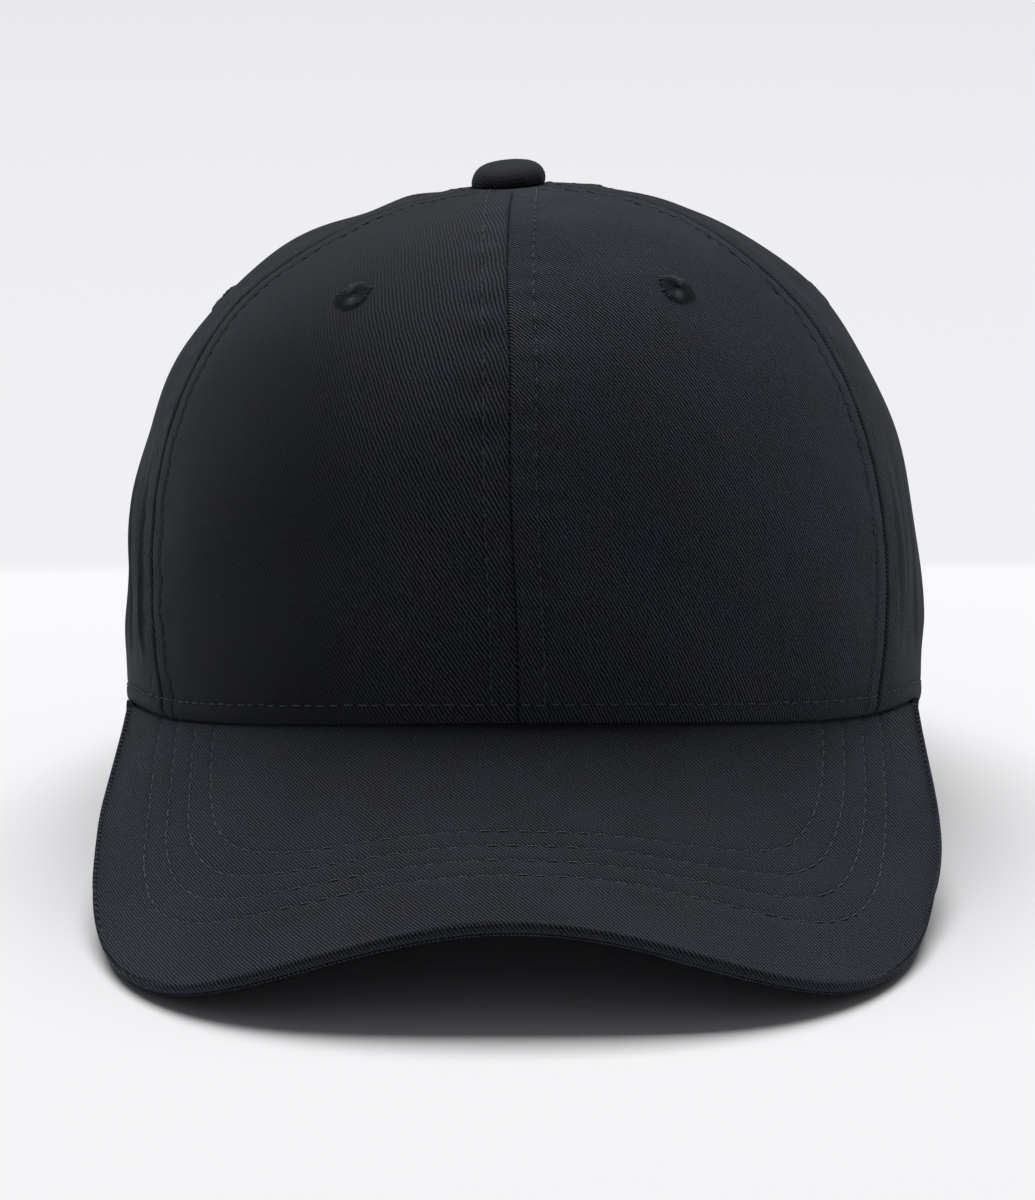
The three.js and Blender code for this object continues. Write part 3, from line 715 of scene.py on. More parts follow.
def seam_relief(distance, width, travel, seed):
    """Height added near one seam: turned edge, raised allowance, row of stitches and puckers."""
    row = np.minimum(SEAM_ROW, 0.47 * width)
    height = -SEAM_DEPTH * turned_edge(distance, SEAM_ROLL)
    allowance = smoothstep(distance, 0.2, 1.6) * (1 - smoothstep(distance, row - 0.8, row + 0.6))
    height = height + 0.22 * allowance
    holes = 0.75 + 0.25 * np.cos(2 * math.pi * travel / CROWN_PITCH)
    height = height - 0.2 * bell(distance - row, 0.5) * holes
    pucker = waves(travel, distance * 0.25, seed, 7.5)
    return height + 0.13 * pucker * bell(distance - row, 4.5)


def side_folds(side, low_distance, travel, seed):
    """Soft upright folds beside the front seam of a side panel, over its belly and tucked foot."""
    place = low_distance + 1.6 * waves(travel, 0 * travel, seed, 70)
    ridge = np.sin(2 * math.pi * place / 9.5 + seed) + 0.5 * np.sin(2 * math.pi * place / 5.6 + 2 * seed)
    reach = smoothstep(low_distance, 5.5, 9) * (1 - smoothstep(low_distance, 24, 46))
    rise = smoothstep(travel, 9, 20) * (1 - smoothstep(travel, 36, 66))
    depth = 0.55 if side < 0 else 0.22
    belly = (0.1 if side < 0 else 0.7) * bell(travel - 76, 24) * smoothstep(low_distance, 4, 24)
    foot = bell(travel - 19, 15) * smoothstep(low_distance, 6, 24)
    return depth * ridge * reach * rise + belly - 0.6 * foot


def panel_relief(place, side, low_distance, high_distance, width, travel):
    seed = {"front": 10, "side": 20, "back": 30}[place] + (5 if side > 0 else 0)
    height = seam_relief(low_distance, width, travel, seed)
    height = height + seam_relief(high_distance, width, travel, seed + 1)
    height = height - RIM_ROLL * turned_edge(travel, RIM_ROLL)
    holes = 0.75 + 0.25 * np.cos(2 * math.pi * low_distance / CROWN_PITCH)
    height = height - 0.28 * bell(travel - RIM_ROW, 0.6) * holes
    height = height + 0.25 * smoothstep(travel, 0.4, 1.6) * (1 - smoothstep(travel, 3.2, 4.4))
    middle = smoothstep(low_distance, 6, 18) * smoothstep(high_distance, 6, 18) * smoothstep(travel, 6, 20)
    soft = {"front": 0.28, "side": 0.55, "back": 0.7}[place]
    height = height + soft * waves(low_distance, travel, seed + 2, 42) * middle
    if place == "side":
        height = height + side_folds(side, low_distance, travel, seed)
    return height * (1 - smoothstep(travel, travel.max() - 14, travel.max() - 7))


RELIEFS = {}


def relief_at(angle, share):
    """The panels' relief at places on the crown, given by angle and share."""
    angle, share = np.broadcast_arrays(np.asarray(angle, float), np.asarray(share, float))
    found = np.zeros(angle.shape)
    for index in np.ndindex(angle.shape):
        side = "left" if angle[index] >= 0 and angle[index] <= 180 else "right"
        away = abs((angle[index] + 180) % 360 - 180)
        place = "front" if away < side_seam(share[index]) else "side" if away < BACK_SEAM_ANGLE else "back"
        shares, angles, height = RELIEFS[place, side]
        row = min(int(np.searchsorted(shares, share[index])), len(shares) - 1)
        found[index] = np.interp(away, angles[row], height[row])
    return found


def crown_panel(place, name):
    side = SIDES[name]
    low_seam, high_seam = (SEAMS[key] for key in PANEL_PLAN[place])
    shares = row_shares()
    angles, low_distance, high_distance, width = panel_layout(low_seam, high_seam, shares)
    share_grid = shares[:, None] + 0 * angles
    middle = angles.shape[1] // 2
    travel = lengths_along(outer_point(angles[:, middle], shares))[:, None] + 0 * angles
    height = panel_relief(place, side, low_distance, high_distance, width, travel)
    RELIEFS[place, name] = shares, angles, height
    top = crown_point(side * angles, share_grid, -height)
    depth = FABRIC - np.minimum(height, 0) * 0.35
    bottom = crown_point(side * angles, share_grid, depth)
    origin = {"front": 0.8 * (width / 2 - width[0] / 2), "side": width / 2, "back": width / 2}[place]
    uv = np.stack([side * (low_distance - origin), travel], -1)
    return top, bottom, uv, width, travel


def cut_opening(piece):
    """Cuts the half-moon opening out of a back panel."""
    outline = opening_path(49)[0]
    low = outline[[0, -1]] * [1, 0, 0] + [0, 0, -30]
    ring = np.concatenate([outline[:, [0, 2]], [[low[1, 0], -30], [low[0, 0], -30]]])
    count = len(ring)
    near = np.stack([ring[:, 0], np.full(count, 40.0), ring[:, 1]], -1)
    far = near + [0, 160, 0]
    faces = [list(range(count)), list(range(2 * count - 1, count - 1, -1))]
    faces += [[i, (i + 1) % count, (i + 1) % count + count, i + count][::-1] for i in range(count)]
    cutter = make_object("opening_cutter", np.concatenate([near, far]), faces, smooth=False)
    apply_cut(piece, cutter)


def apply_cut(piece, cutter):
    modifier = piece.modifiers.new("cut", "BOOLEAN")
    modifier.operation = "DIFFERENCE"
    modifier.object = cutter
    modifier.solver = "EXACT"
    bpy.context.view_layer.objects.active = piece
    bpy.ops.object.modifier_apply(modifier="cut")
    bpy.data.objects.remove(cutter)


OPENING_HALF_ANGLE = 31.4
OPENING_HEIGHT = 50
OPENING_HALF_WIDTH = 46


def opening_path(count, start=0.0):
    """Points, normals and inward directions along the half-moon's edge."""
    turn = np.linspace(start, math.pi - start, count)
    angle = 180 - OPENING_HALF_ANGLE * np.cos(turn)
    share = share_at_rise(angle, OPENING_HEIGHT * np.sin(turn))
    points = outer_point(angle, share)
    normals = crown_normal(angle, np.maximum(share, 0.001))
    inward = unit(np.cross(np.gradient(points, axis=0), normals))
    centre = np.array([0, 0, 20.0])
    if ((centre - points)[:, [0, 2]] * inward[:, [0, 2]]).sum() < 0:
        inward = -inward
    return points, normals, inward


def crown_panels():
    finish = {
        ("front", "left"): "panel_left",
        ("front", "right"): "panel_right",
        ("side", "left"): "panel_side_left",
        ("side", "right"): "panel_side_right",
        ("back", "left"): "panel_back",
        ("back", "right"): "panel_back",
    }
    for place in PANEL_PLAN:
        for name in SIDES:
            top, bottom, uv, width, travel = crown_panel(place, name)
            piece = slab(f"panel_{place}_{name}", top, bottom, uv)
            if place == "back":
                cut_opening(piece)
            dress(piece, [f"{place}_panel_{name}"], MATERIALS[finish[place, name]])
            declare_panel(place, width[:, 0], travel[:, 0])


def declare_panel(place, width, travel):
    """Works out a panel's flat area from its width and length between the seams, and does nothing with it.
    """
    area = float(((width[1:] + width[:-1]) / 2 * np.diff(travel)).sum())
    if place == "back":
        area -= 0.25 * math.pi * OPENING_HALF_WIDTH * OPENING_HEIGHT


# ---------------------------------------------------------------- crown stitching
def seam_row_path(side, seam_name, offset):
    """A row of stitches a set distance to one side of a seam, from the rim to the button."""
    shares = np.linspace(0.0, 0.94, 160)
    angle = side * SEAMS[seam_name](shares)
    per_degree = np.linalg.norm(degree_step(angle, shares), axis=-1)
    reach = np.sign(offset) * np.minimum(abs(offset), 0.47 * per_degree * 60)
    turned = angle + reach / per_degree
    path = crown_point(turned, shares, -0.08 - relief_at(turned, shares))
    travel = lengths_along(path)
    keep = travel > SEAM_ROW_START
    return path[keep], crown_normal(turned, shares)[keep]


def crown_stitching():
    thread = Thread()
    rows = [(1, "front")] + [(s, seam) for s in (1, -1) for seam in ("side", "rear")]
    for number, (side, seam) in enumerate(rows):
        for offset in (SEAM_ROW, -SEAM_ROW):
            path, normals = seam_row_path(side, seam, offset)
            proud = 0.08 if seam == "front" else 0.02
            seed = 40 + 2 * number + (offset > 0)
            thread.row(path, normals, CROWN_PITCH, share=0.68, proud=proud, seed=seed)
    for offset in (SEAM_ROW, -SEAM_ROW):
        path, normals = seam_row_path(1, "back", offset)
        keep = path[:, 2] > OPENING_HEIGHT + 5
        thread.row(path[keep], normals[keep], CROWN_PITCH, seed=60 + (offset > 0))
    thread.build("crown_stitching")


def rim_stitching():
    thread = Thread()
    end = 180 - OPENING_HALF_ANGLE - 1
    angle = np.linspace(-end, end, 700)
    share = share_at_rise(angle, RIM_ROW)
    path = crown_point(angle, share, -0.1 - relief_at(angle, share))
    thread.row(path, crown_normal(angle, share), CROWN_PITCH, seed=71)
    thread.build("rim_stitching", "thread_dull")


# ---------------------------------------------------------------- eyelets
def surface_frame(angle, share):
    angle = np.array([float(angle)])
    share = np.array([float(share)])
    normal = crown_normal(angle, share)[0]
    right = unit(degree_step(angle, share))[0]
    return outer_point(angle, share)[0], right, np.cross(normal, right), normal


def eyelet(place, name):
    """An embroidered ring: threads wound from the small hole out over its edge."""
    side = SIDES[name]
    angle = side * EYELET_ANGLES[place]
    origin, right, up, normal = surface_frame(angle, EYELET_SHARE)
    origin = origin + normal * max(float(relief_at(angle, EYELET_SHARE)), 0)
    random = np.random.default_rng(200 + 10 * side + int(EYELET_ANGLES[place]))
    wraps = EYELET_WRAPS
    columns = wraps * 8
    turn = np.arange(columns) * 2 * math.pi / columns
    ply = np.abs(np.sin(turn * wraps / 2)) ** 0.7
    jitter = np.repeat(random.normal(0, 0.2, wraps), 8)
    uneven = np.repeat(random.normal(0, 0.07, wraps), 8)
    outer = EYELET_RADIUS + jitter
    profile = np.array([
        [0.0, -1.4], [0.01, -0.7], [0.04, -0.15], [0.12, 0.2], [0.25, 0.38], [0.4, 0.47], [0.55, 0.5],
        [0.7, 0.47], [0.83, 0.36], [0.93, 0.15], [0.98, -0.1], [1.0, -0.4], [1.0, -1.2],
    ])
    reach = EYELET_HOLE + (outer[None] - EYELET_HOLE) * profile[:, :1]
    groove = np.clip(0.1 + 0.5 * profile[:, :1], 0.1, 0.42)
    height = profile[:, 1:] + groove * (ply[None] - 0.6) + uneven[None] * profile[:, :1]
    flat = right[None, None] * np.cos(turn)[None, :, None] + up[None, None] * np.sin(turn)[None, :, None]
    drop = reach**2 / 190
    top = origin + flat * reach[..., None] + normal * (height - drop)[..., None]
    inner_reach = np.clip(reach, EYELET_HOLE + 0.25, EYELET_RADIUS - 0.6)
    inner_height = np.clip(height - 0.4, -1.4, -0.1)
    bottom = origin + flat * inner_reach[..., None] + normal * (inner_height - drop)[..., None]
    uv = flat_places(reach, turn[None] * wraps)
    piece = slab(f"eyelet_ring_{place}_{name}", top, bottom, uv, ring=True)
    dress(piece, [f"eyelet_{place}_{name}"], MATERIALS["eyelet"])


# ---------------------------------------------------------------- brim
def brim_edge(turn):
    inner = -CROWN_HALF_DEPTH * RIM_TUCK
    front_y = inner - BRIM_LENGTH * math.cos(BRIM_SLOPE)
    front_z = FRONT_ARCH - BRIM_LENGTH * math.sin(BRIM_SLOPE)
    bearing = turn * math.pi / 2
    reach = superellipse(bearing, BRIM_SQUARENESS)
    x = BRIM_HALF_WIDTH * reach * np.sin(bearing)
    y = BRIM_END_Y + (front_y - BRIM_END_Y) * reach * np.cos(bearing)
    droop = BRIM_BEND_DEPTH * (np.sqrt(1 + (x / BRIM_BEND_WIDTH) ** 2) - 1)
    ending = smoothstep(np.abs(turn), BRIM_END_START, 1)
    rise = front_z + (y - front_y) * math.tan(BRIM_SIDE_SLOPE) - droop
    return stand(x - BRIM_END_TAPER * np.sign(turn) * ending, y, rise - BRIM_END_DROP * ending)


def brim_surface(turn, share):
    """The brim's top surface: share 0 at the outer edge, 1 at the rim."""
    turn, share = np.broadcast_arrays(np.asarray(turn, float), np.asarray(share, float))
    inner = outer_point(turn * BRIM_END_ANGLE, np.zeros_like(turn))
    outer = brim_edge(turn)
    gap = 0.5 * unit(outer - inner)
    return lerp(outer, inner + gap, share[..., None])


def brim_normal(turn, share):
    turn = np.clip(np.asarray(turn, float), -BRIM_FLAT_END, BRIM_FLAT_END)
    share = np.asarray(share, float)
    sideways = brim_surface(turn + 0.004, share) - brim_surface(turn - 0.004, share)
    back = brim_surface(turn, share + 0.01) - brim_surface(turn, share - 0.01)
    return unit(np.cross(sideways, back))


def brim_pattern(points):
    """Flat-pattern coordinates of brim points: arc length across, and depth forward."""
    x, level_y, _ = level(points)
    table = np.linspace(0, 100, 500)
    slope = BRIM_BEND_DEPTH * table / (BRIM_BEND_WIDTH**2 * np.sqrt(1 + (table / BRIM_BEND_WIDTH) ** 2))
    steps = np.sqrt(1 + slope**2)
    arc = np.concatenate([[0], np.cumsum((steps[1:] + steps[:-1]) / 2 * np.diff(table))])
    return np.sign(x) * np.interp(np.abs(x), table, arc), BRIM_END_Y - level_y


def brim_row_sizes(row):
    arc, _ = brim_pattern(stand(np.array(BRIM_HALF_WIDTH), np.array(0.0), np.array(0.0)))
    depth = BRIM_LENGTH * math.cos(BRIM_SLOPE) + CROWN_HALF_DEPTH * RIM_TUCK + BRIM_END_Y
    return float(arc) - row["side"], depth - row["front"] * math.cos(BRIM_SLOPE)


def row_distance(arc, depth, row):
    """Signed distance from a row of brim stitches, positive towards the edge."""
    half, reach = brim_row_sizes(row)
    n = BRIM_ROW_POWER
    a = np.abs(arc) / half
    b = np.maximum(depth + BRIM_ROW_SAG * a**2, 0) / reach
    f = np.maximum(a**n + b**n, 1e-9) ** (1 / n)
    pull = (b / f) ** (n - 1) / reach
    slope = (a / f) ** (n - 1) / half + pull * 2 * BRIM_ROW_SAG * a / half
    return (f - 1) / np.maximum(np.hypot(slope, pull), 1e-6)


def brim_locate(arc, depth):
    """Turn and share of flat-pattern places, by Newton steps."""
    def place(t, s):
        return np.stack(brim_pattern(brim_surface(t, s)), -1)

    turn = np.clip(arc / 96, -0.98, 0.98) * 0.9
    share = np.full_like(turn, 0.35)
    for _ in range(25):
        here = place(turn, share)
        d_turn = (place(turn + 0.002, share) - here) / 0.002
        d_share = (place(turn, share + 0.002) - here) / 0.002
        miss = np.stack([arc, depth], -1) - here
        det = d_turn[:, 0] * d_share[:, 1] - d_turn[:, 1] * d_share[:, 0]
        det = np.where(np.abs(det) < 1e-6, 1e-6, det)
        step_turn = (miss[:, 0] * d_share[:, 1] - miss[:, 1] * d_share[:, 0]) / det
        step_share = (d_turn[:, 0] * miss[:, 1] - d_turn[:, 1] * miss[:, 0]) / det
        turn = np.clip(turn + np.clip(step_turn, -0.1, 0.1), -1, 1)
        share = np.clip(share + np.clip(step_share, -0.2, 0.2), -0.1, 1.2)
    miss = np.linalg.norm(np.stack([arc, depth], -1) - place(turn, share), axis=-1)
    return turn, share, miss


def brim_relief(points):
    arc, depth = brim_pattern(points)
    height = 0.1 * waves(arc, depth, 81, 38)
    for row in BRIM_ROWS:
        away = row_distance(arc, depth, row)
        height = height - 0.17 * bell(away, 0.5)
        height = height + 0.06 * bell(away - 2.4, 1.4)
    return height


TOP_EDGE = [(-1.1 + 1.1 * math.sin(a), -1.1 + 1.1 * math.cos(a)) for a in np.linspace(0.15, math.pi / 2, 7)]
TOP_EDGE += [(-0.04, -1.5), (-0.16, -1.9), (-0.36, -2.22), (-0.64, -2.46), (-1.0, -2.58)]
UNDER_EDGE = [(-1.3, -3.2), (-0.95, -3.18), (-0.68, -3.08), (-0.56, -2.92), (-0.62, -2.78), (-0.85, -2.68)]


BRIM_TURNS = np.linspace(-1, 1, 521)


def brim_flat(rows, stop):
    """Turns and shares of the brim's flat part, from under the rim to near the edge."""
    turn = BRIM_TURNS
    length = np.linalg.norm(brim_edge(turn) - outer_point(turn * BRIM_END_ANGLE, 0 * turn), axis=-1)
    last = np.minimum(stop / length, 0.4)
    share = lerp(1.0, last[None], np.linspace(0, 1, rows)[:, None])
    return turn[None] + 0 * share, share


TOP_TUCK = [(1.75, 5.0), (1.75, 3.5), (1.75, 2.0), (1.65, 0.9), (1.3, 0.1), (0.7, -0.25)]
UNDER_TUCK = [(2.95, 0.6), (2.95, -0.6), (2.7, -1.8), (2.1, -2.7), (1.2, -3.3)]


def brim_tuck(turn, rows):
    """Rows of cloth, each so far in and so far up from the rim, that the brim is sewn in by."""
    angle = turn * BRIM_END_ANGLE
    normal = crown_normal(angle, 0 * turn)
    rim = outer_point(angle, 0 * turn)
    return np.stack([rim - normal * inward + np.array([0, 0, up]) for inward, up in rows])


def brim_roll(turn, profile):
    """Rows round the brim's outer edge, from steps (outward, up); they narrow with its ends."""
    edge = brim_edge(turn)
    inner = np.clip(turn, -BRIM_FLAT_END, BRIM_FLAT_END)
    tangent = unit(brim_edge(inner + 0.002) - brim_edge(inner - 0.002))
    normal = brim_normal(turn, np.full_like(turn, 0.02))
    away = unit(np.cross(tangent, normal))
    flip = np.sign(np.einsum("ij,ij->i", away, brim_edge(inner) - outer_point(inner * 60, 0 * inner)))
    away = away * flip[:, None]
    room = np.linalg.norm(edge - outer_point(turn * BRIM_END_ANGLE, 0 * turn), axis=-1)
    squeeze = np.minimum(room / 2.75, 1)[:, None]
    return np.stack([edge + away * a * squeeze + normal * (b - BRIM_GAP) for a, b in profile])


def brim_top():
    turn_grid, share = brim_flat(150, 1.1)
    base = brim_surface(turn_grid, share)
    normals = brim_normal(turn_grid, share)
    relief = brim_relief(base) * smoothstep(share, 0, 0.02)
    flat = base + normals * (relief - BRIM_GAP)[..., None]
    top = np.concatenate([brim_tuck(BRIM_TURNS, TOP_TUCK), flat, brim_roll(BRIM_TURNS, TOP_EDGE)])
    under = top + grid_normals(top) * brim_side(top) * 0.8
    uv = flat_places(brim_pattern(top)[0], -lengths_along(top))
    piece = slab("brim_top_cloth", top, under, uv)
    dress(piece, ["brim_top_fabric"], MATERIALS["brim"])


def brim_side(top):
    """The sign that turns the grid's normals down into the brim."""
    middle = grid_normals(top)[top.shape[0] // 2, top.shape[1] // 2]
    return -1.0 if middle[2] > 0 else 1.0


def brim_under():
    turn_grid, share = brim_flat(90, 0.9)
    base = brim_surface(turn_grid, share)
    normals = brim_normal(turn_grid, share)
    arc, depth = brim_pattern(base)
    height = 0.12 * waves(arc, depth, 91, 30)
    for row in BRIM_ROWS:
        height = height - 0.2 * bell(row_distance(arc, depth, row), 0.6)
    height = height * smoothstep(share, 0, 0.03)
    flat = base - normals * (height + BRIM_GAP + BRIM_THICKNESS)[..., None]
    outside = np.concatenate([brim_tuck(BRIM_TURNS, UNDER_TUCK), flat, brim_roll(BRIM_TURNS, UNDER_EDGE)])
    inside = outside - grid_normals(outside) * brim_side(outside) * 0.5
    uv = flat_places(brim_pattern(outside)[0], -lengths_along(outside))
    piece = slab("brim_under_cloth", outside, inside, uv)
    dress(piece, ["brim_under_fabric"], MATERIALS["brim_under"])


def brim_stitching():
    thread = Thread()
    bearing = np.linspace(-math.pi / 2, math.pi / 2, 600)[1:-1]
    radius = superellipse(bearing, BRIM_ROW_POWER)
    for number, row in enumerate(BRIM_ROWS):
        half, reach = brim_row_sizes(row)
        arc = half * radius * np.sin(bearing)
        depth = reach * radius * np.cos(bearing) - BRIM_ROW_SAG * (arc / half) ** 2
        turn, share, miss = brim_locate(arc, depth)
        keep = (miss < 0.05) & (share < 0.985)
        path = brim_surface(turn[keep], share[keep])
        normals = brim_normal(turn[keep], share[keep])
        path = path - normals * (BRIM_GAP + 0.14)
        thread.row(path, normals, BRIM_PITCH, share=0.82, proud=0.06, seed=100 + number)
        below = path - normals * (BRIM_THICKNESS - 0.22)
        thread.row(below, -normals, BRIM_PITCH, share=0.72, seed=110 + number)
    thread.build("brim_stitching", "thread_dull")


# ---------------------------------------------------------------- button
BUTTON_PROFILE = [
    (0.0, 5.5), (1.2, 5.49), (2.4, 5.45), (3.6, 5.36), (4.7, 5.2), (5.7, 4.93), (6.6, 4.5), (7.3, 3.95),
    (7.85, 3.2), (8.2, 2.35), (8.32, 1.5), (8.25, 0.65), (8.0, 0.0), (7.5, -0.45), (6.8, -0.6), (5.8, -0.5),
]


def seat_button(x, y, lift):
    """Where the nodding button puts a point of its own upright frame, measured from the apex."""
    return x + BUTTON_SHIFT, y, lift + BUTTON_LEAN * x + BUTTON_NOD * y - BUTTON_SINK


def apex_drop(x, y):
    """How far the crown lies below its apex at a place under the button."""
    radius = np.hypot(x / CROWN_HALF_WIDTH, y / CROWN_HALF_DEPTH)
    dome = 1 - (1 - radius ** SIDE_ROUNDNESS[0]) ** (1 / SIDE_ROUNDNESS[1])
    return CROWN_HEIGHT * dome + CROWN_PEAK["height"] * (1 - bell(radius, CROWN_PEAK["radius"]))


def button():
    """A cloth-covered button: a low dome, gathered where the cloth turns under."""
    profile = np.array(BUTTON_PROFILE)
    fine = np.linspace(0, len(profile) - 1, 64)
    radius = np.maximum(np.interp(fine, np.arange(len(profile)), profile[:, 0]), 0.02)
    height = np.interp(fine, np.arange(len(profile)), profile[:, 1])
    turn = np.arange(160) * 2 * math.pi / 160
    gather = waves(turn * 14, 0 * turn, 131, 4.2)[None] * smoothstep(fine, 7, 13)[:, None]
    reach = radius[:, None] + 0.17 * gather
    raised = height[:, None] + 0.05 * gather
    x, y = reach * np.cos(turn), reach * np.sin(turn)
    x_seat, y_seat, lift_seat = seat_button(x, y, raised)
    rest = 0.1 - apex_drop(x_seat, y_seat)
    lift_seat = np.maximum(lift_seat, rest + 0.12 * (raised - raised.min()))
    apex = CROWN_HEIGHT + CROWN_PEAK["height"]
    top = stand(x_seat, y_seat, apex + lift_seat)
    shrink = 1 - 0.7 / np.maximum(radius, 1.4)[:, None]
    x_in, y_in, lift_in = seat_button(x * shrink, y * shrink, raised - 0.7)
    bottom = stand(x_in, y_in, apex + np.maximum(lift_in, rest + 0.1))
    uv = np.stack([x, y + 0.6 * raised], -1)
    piece = slab("button_cloth", top, bottom, uv, ring=True)
    dress(piece, ["button_cover"], MATERIALS["button"])


# ---------------------------------------------------------------- lining pieces
def band(name, angles, columns, rises, depth, thickness, edge=0.0):
    """A band that follows the crown inside its rim, thinner at its low and high edges."""
    angle = np.linspace(*angles, columns)[None] + 0 * rises[:, None]
    rise = rises[:, None] + 0 * angle
    share = share_at_rise(angle, rise)
    t = (rise - rises[0]) / (rises[-1] - rises[0])
    filled = edge + (thickness - edge) * np.sin(math.pi * t) ** 0.35
    top = crown_point(angle, share, depth)
    bottom = crown_point(angle, share, depth + filled)
    travel = lengths_along(outer_point(angle[0], share[0]))
    return slab(name, top, bottom, flat_places(travel[None], rise))


def sweatband():
    rises = np.linspace(1, 33, 40)
    piece = band("sweatband_cloth", (-147, 147), 500, rises, 3.6, 2.0, edge=0.6)
    dress(piece, ["sweatband"], MATERIALS["sweat"])


def buckram(name):
    side = SIDES[name]
    shares = np.linspace(0.01, CROWN_TOP * 10 / 12, 90)
    angles, low_distance, _, width = panel_layout(SEAMS["front"], SEAMS["side"], shares)
    across = lerp(BUCKRAM_INSET, width - BUCKRAM_INSET, np.linspace(0, 1, 70)[None])
    turned = np.stack([np.interp(across[i], low_distance[i], angles[i]) for i in range(len(shares))])
    share = shares[:, None] + 0 * turned
    top = crown_point(side * turned, share, LINING_DEPTH)
    bottom = crown_point(side * turned, share, LINING_DEPTH + BUCKRAM_THICKNESS)
    travel = lengths_along(outer_point(turned[:, 35], shares))[:, None]
    piece = slab(f"buckram_mesh_{name}", top, bottom, flat_places(across, travel))
    dress(piece, [f"front_buckram_{name}"], MATERIALS["buckram"])


def seam_tape(name, side, seam, low):
    shares = np.linspace(low, 0.895, 120)[:, None]
    across = np.linspace(-TAPE_WIDTH / 2, TAPE_WIDTH / 2, 25)[None]
    angle = side * SEAMS[seam](shares)
    per_degree = np.linalg.norm(degree_step(angle, shares), axis=-1)
    turned = angle + across / per_degree
    share = shares + 0 * turned
    ridge = 0.25 * bell(np.abs(across) - 3.2, 1.6) - 0.1 * bell(np.abs(across) - 5.6, 0.4)
    top = crown_point(turned, share, LINING_DEPTH)
    bottom = crown_point(turned, share, LINING_DEPTH + 0.9 + ridge)
    travel = lengths_along(outer_point(angle[:, 0], shares[:, 0]))[:, None]
    piece = slab(f"tape_{name}", top, bottom, flat_places(across, travel))
    dress(piece, [f"seam_tape_{name}"], MATERIALS["lining"])


def seam_tapes():
    seam_tape("front", 1, "front", 0.01)
    seam_tape("back", 1, "back", float(share_at_rise(180, OPENING_HEIGHT + 5)))
    for name, side in SIDES.items():
        seam_tape(f"front_{name}", side, "side", 0.01)
        seam_tape(f"rear_{name}", side, "rear", 0.01)


def size_label():
    rises = np.linspace(9, 30, 20)
    piece = band("label_blank", (122, 134), 30, rises, 5.9, 0.35)
    dress(piece, ["size_label"], MATERIALS["label"])


# ---------------------------------------------------------------- back closure
STRAP_LOW, STRAP_HIGH = 3.4, 20.2
STRAP_THICKNESS = 1.4
STRAP_OUTSIDE = -2.8
SLOT_START, SLOT_END = 38.5, 43.4


def strap_depth(turn):
    rising = smoothstep(turn, -22, -2)
    diving = smoothstep(turn, SLOT_START + 0.2, SLOT_END - 0.6)
    return lerp(LINING_DEPTH, STRAP_OUTSIDE, rising) + (LINING_DEPTH - STRAP_OUTSIDE) * diving


def cloth_strap(name, start, end, depth_at, node):
    """A folded cloth strap with turned edges and a stitched row along each."""
    turn = np.linspace(start, end, 260)
    across = np.linspace(0, 1, 36)
    rise = lerp(STRAP_LOW, STRAP_HIGH, across)[:, None] + 0 * turn[None]
    angle = 180 + turn[None] + 0 * rise
    share = share_at_rise(angle, rise)
    from_edge = np.minimum(rise - STRAP_LOW, STRAP_HIGH - rise)
    rounded = 0.6 * turned_edge(from_edge, 0.7)
    groove = 0.16 * bell(from_edge - 2.0, 0.45)
    depth = depth_at(turn)[None] + 0 * rise
    top = crown_point(angle, share, depth + rounded + groove)
    bottom = crown_point(angle, share, depth + STRAP_THICKNESS - rounded - groove)
    travel = lengths_along(outer_point(180 + turn, 0 * turn + 0.05))
    piece = slab(name, top, bottom, flat_places(travel[None], rise))
    dress(piece, [node], MATERIALS["strap"])
    thread = Thread()
    for edge_rise in (STRAP_LOW + 2.0, STRAP_HIGH - 2.0):
        line = share_at_rise(180 + turn, edge_rise)
        path = crown_point(180 + turn, line, depth_at(turn) + 0.1)
        thread.row(path, crown_normal(180 + turn, line), CROWN_PITCH, seed=int(150 + edge_rise + start))
    thread.build(f"{name}_stitching")


def tab_depth(turn):
    return lerp(0.6, LINING_DEPTH, smoothstep(turn, 17.4, 25))


def opening_binding():
    """Self-cloth folded over the half-moon's edge, with its row of stitches."""
    points, normals, inward = opening_path(220, 0.06)
    loop = np.linspace(0, 2 * math.pi, 29)[:-1]
    half_wide, half_deep = 1.55, 1.08
    across = 0.3 + half_wide + half_wide * np.sign(np.cos(loop)) * np.abs(np.cos(loop)) ** 0.7
    height = -0.38 + half_deep * np.sign(np.sin(loop)) * np.abs(np.sin(loop)) ** 0.7
    ring = points[:, None] + inward[:, None] * across[:, None] + normals[:, None] * height[:, None]
    travel = lengths_along(points)
    count = len(loop)
    ids = np.arange(len(points) * count).reshape(len(points), count)
    follow = np.roll(ids, -1, axis=1)
    quads = np.stack([ids[:-1], follow[:-1], follow[1:], ids[1:]], -1).reshape(-1, 4)
    flat = ring.reshape(-1, 3)
    faces = outward(flat, quads).tolist()
    turned = faces[0][0] != quads[0][0] or faces[0][1] != quads[0][1]
    first, last = ids[0].tolist(), ids[-1].tolist()
    faces.append(first if turned else first[::-1])
    faces.append(last[::-1] if turned else last)
    uv = np.stack([np.repeat(travel, count), np.tile(loop * 1.5, len(points))], -1)
    piece = make_object("opening_binding_cloth", flat, faces, uv)
    dress(piece, ["back_opening_binding"], MATERIALS["strap"])
    thread = Thread()
    path = points + inward * 1.2 + normals * 0.62
    thread.row(path, normals, CROWN_PITCH, seed=171)
    thread.build("opening_stitching")


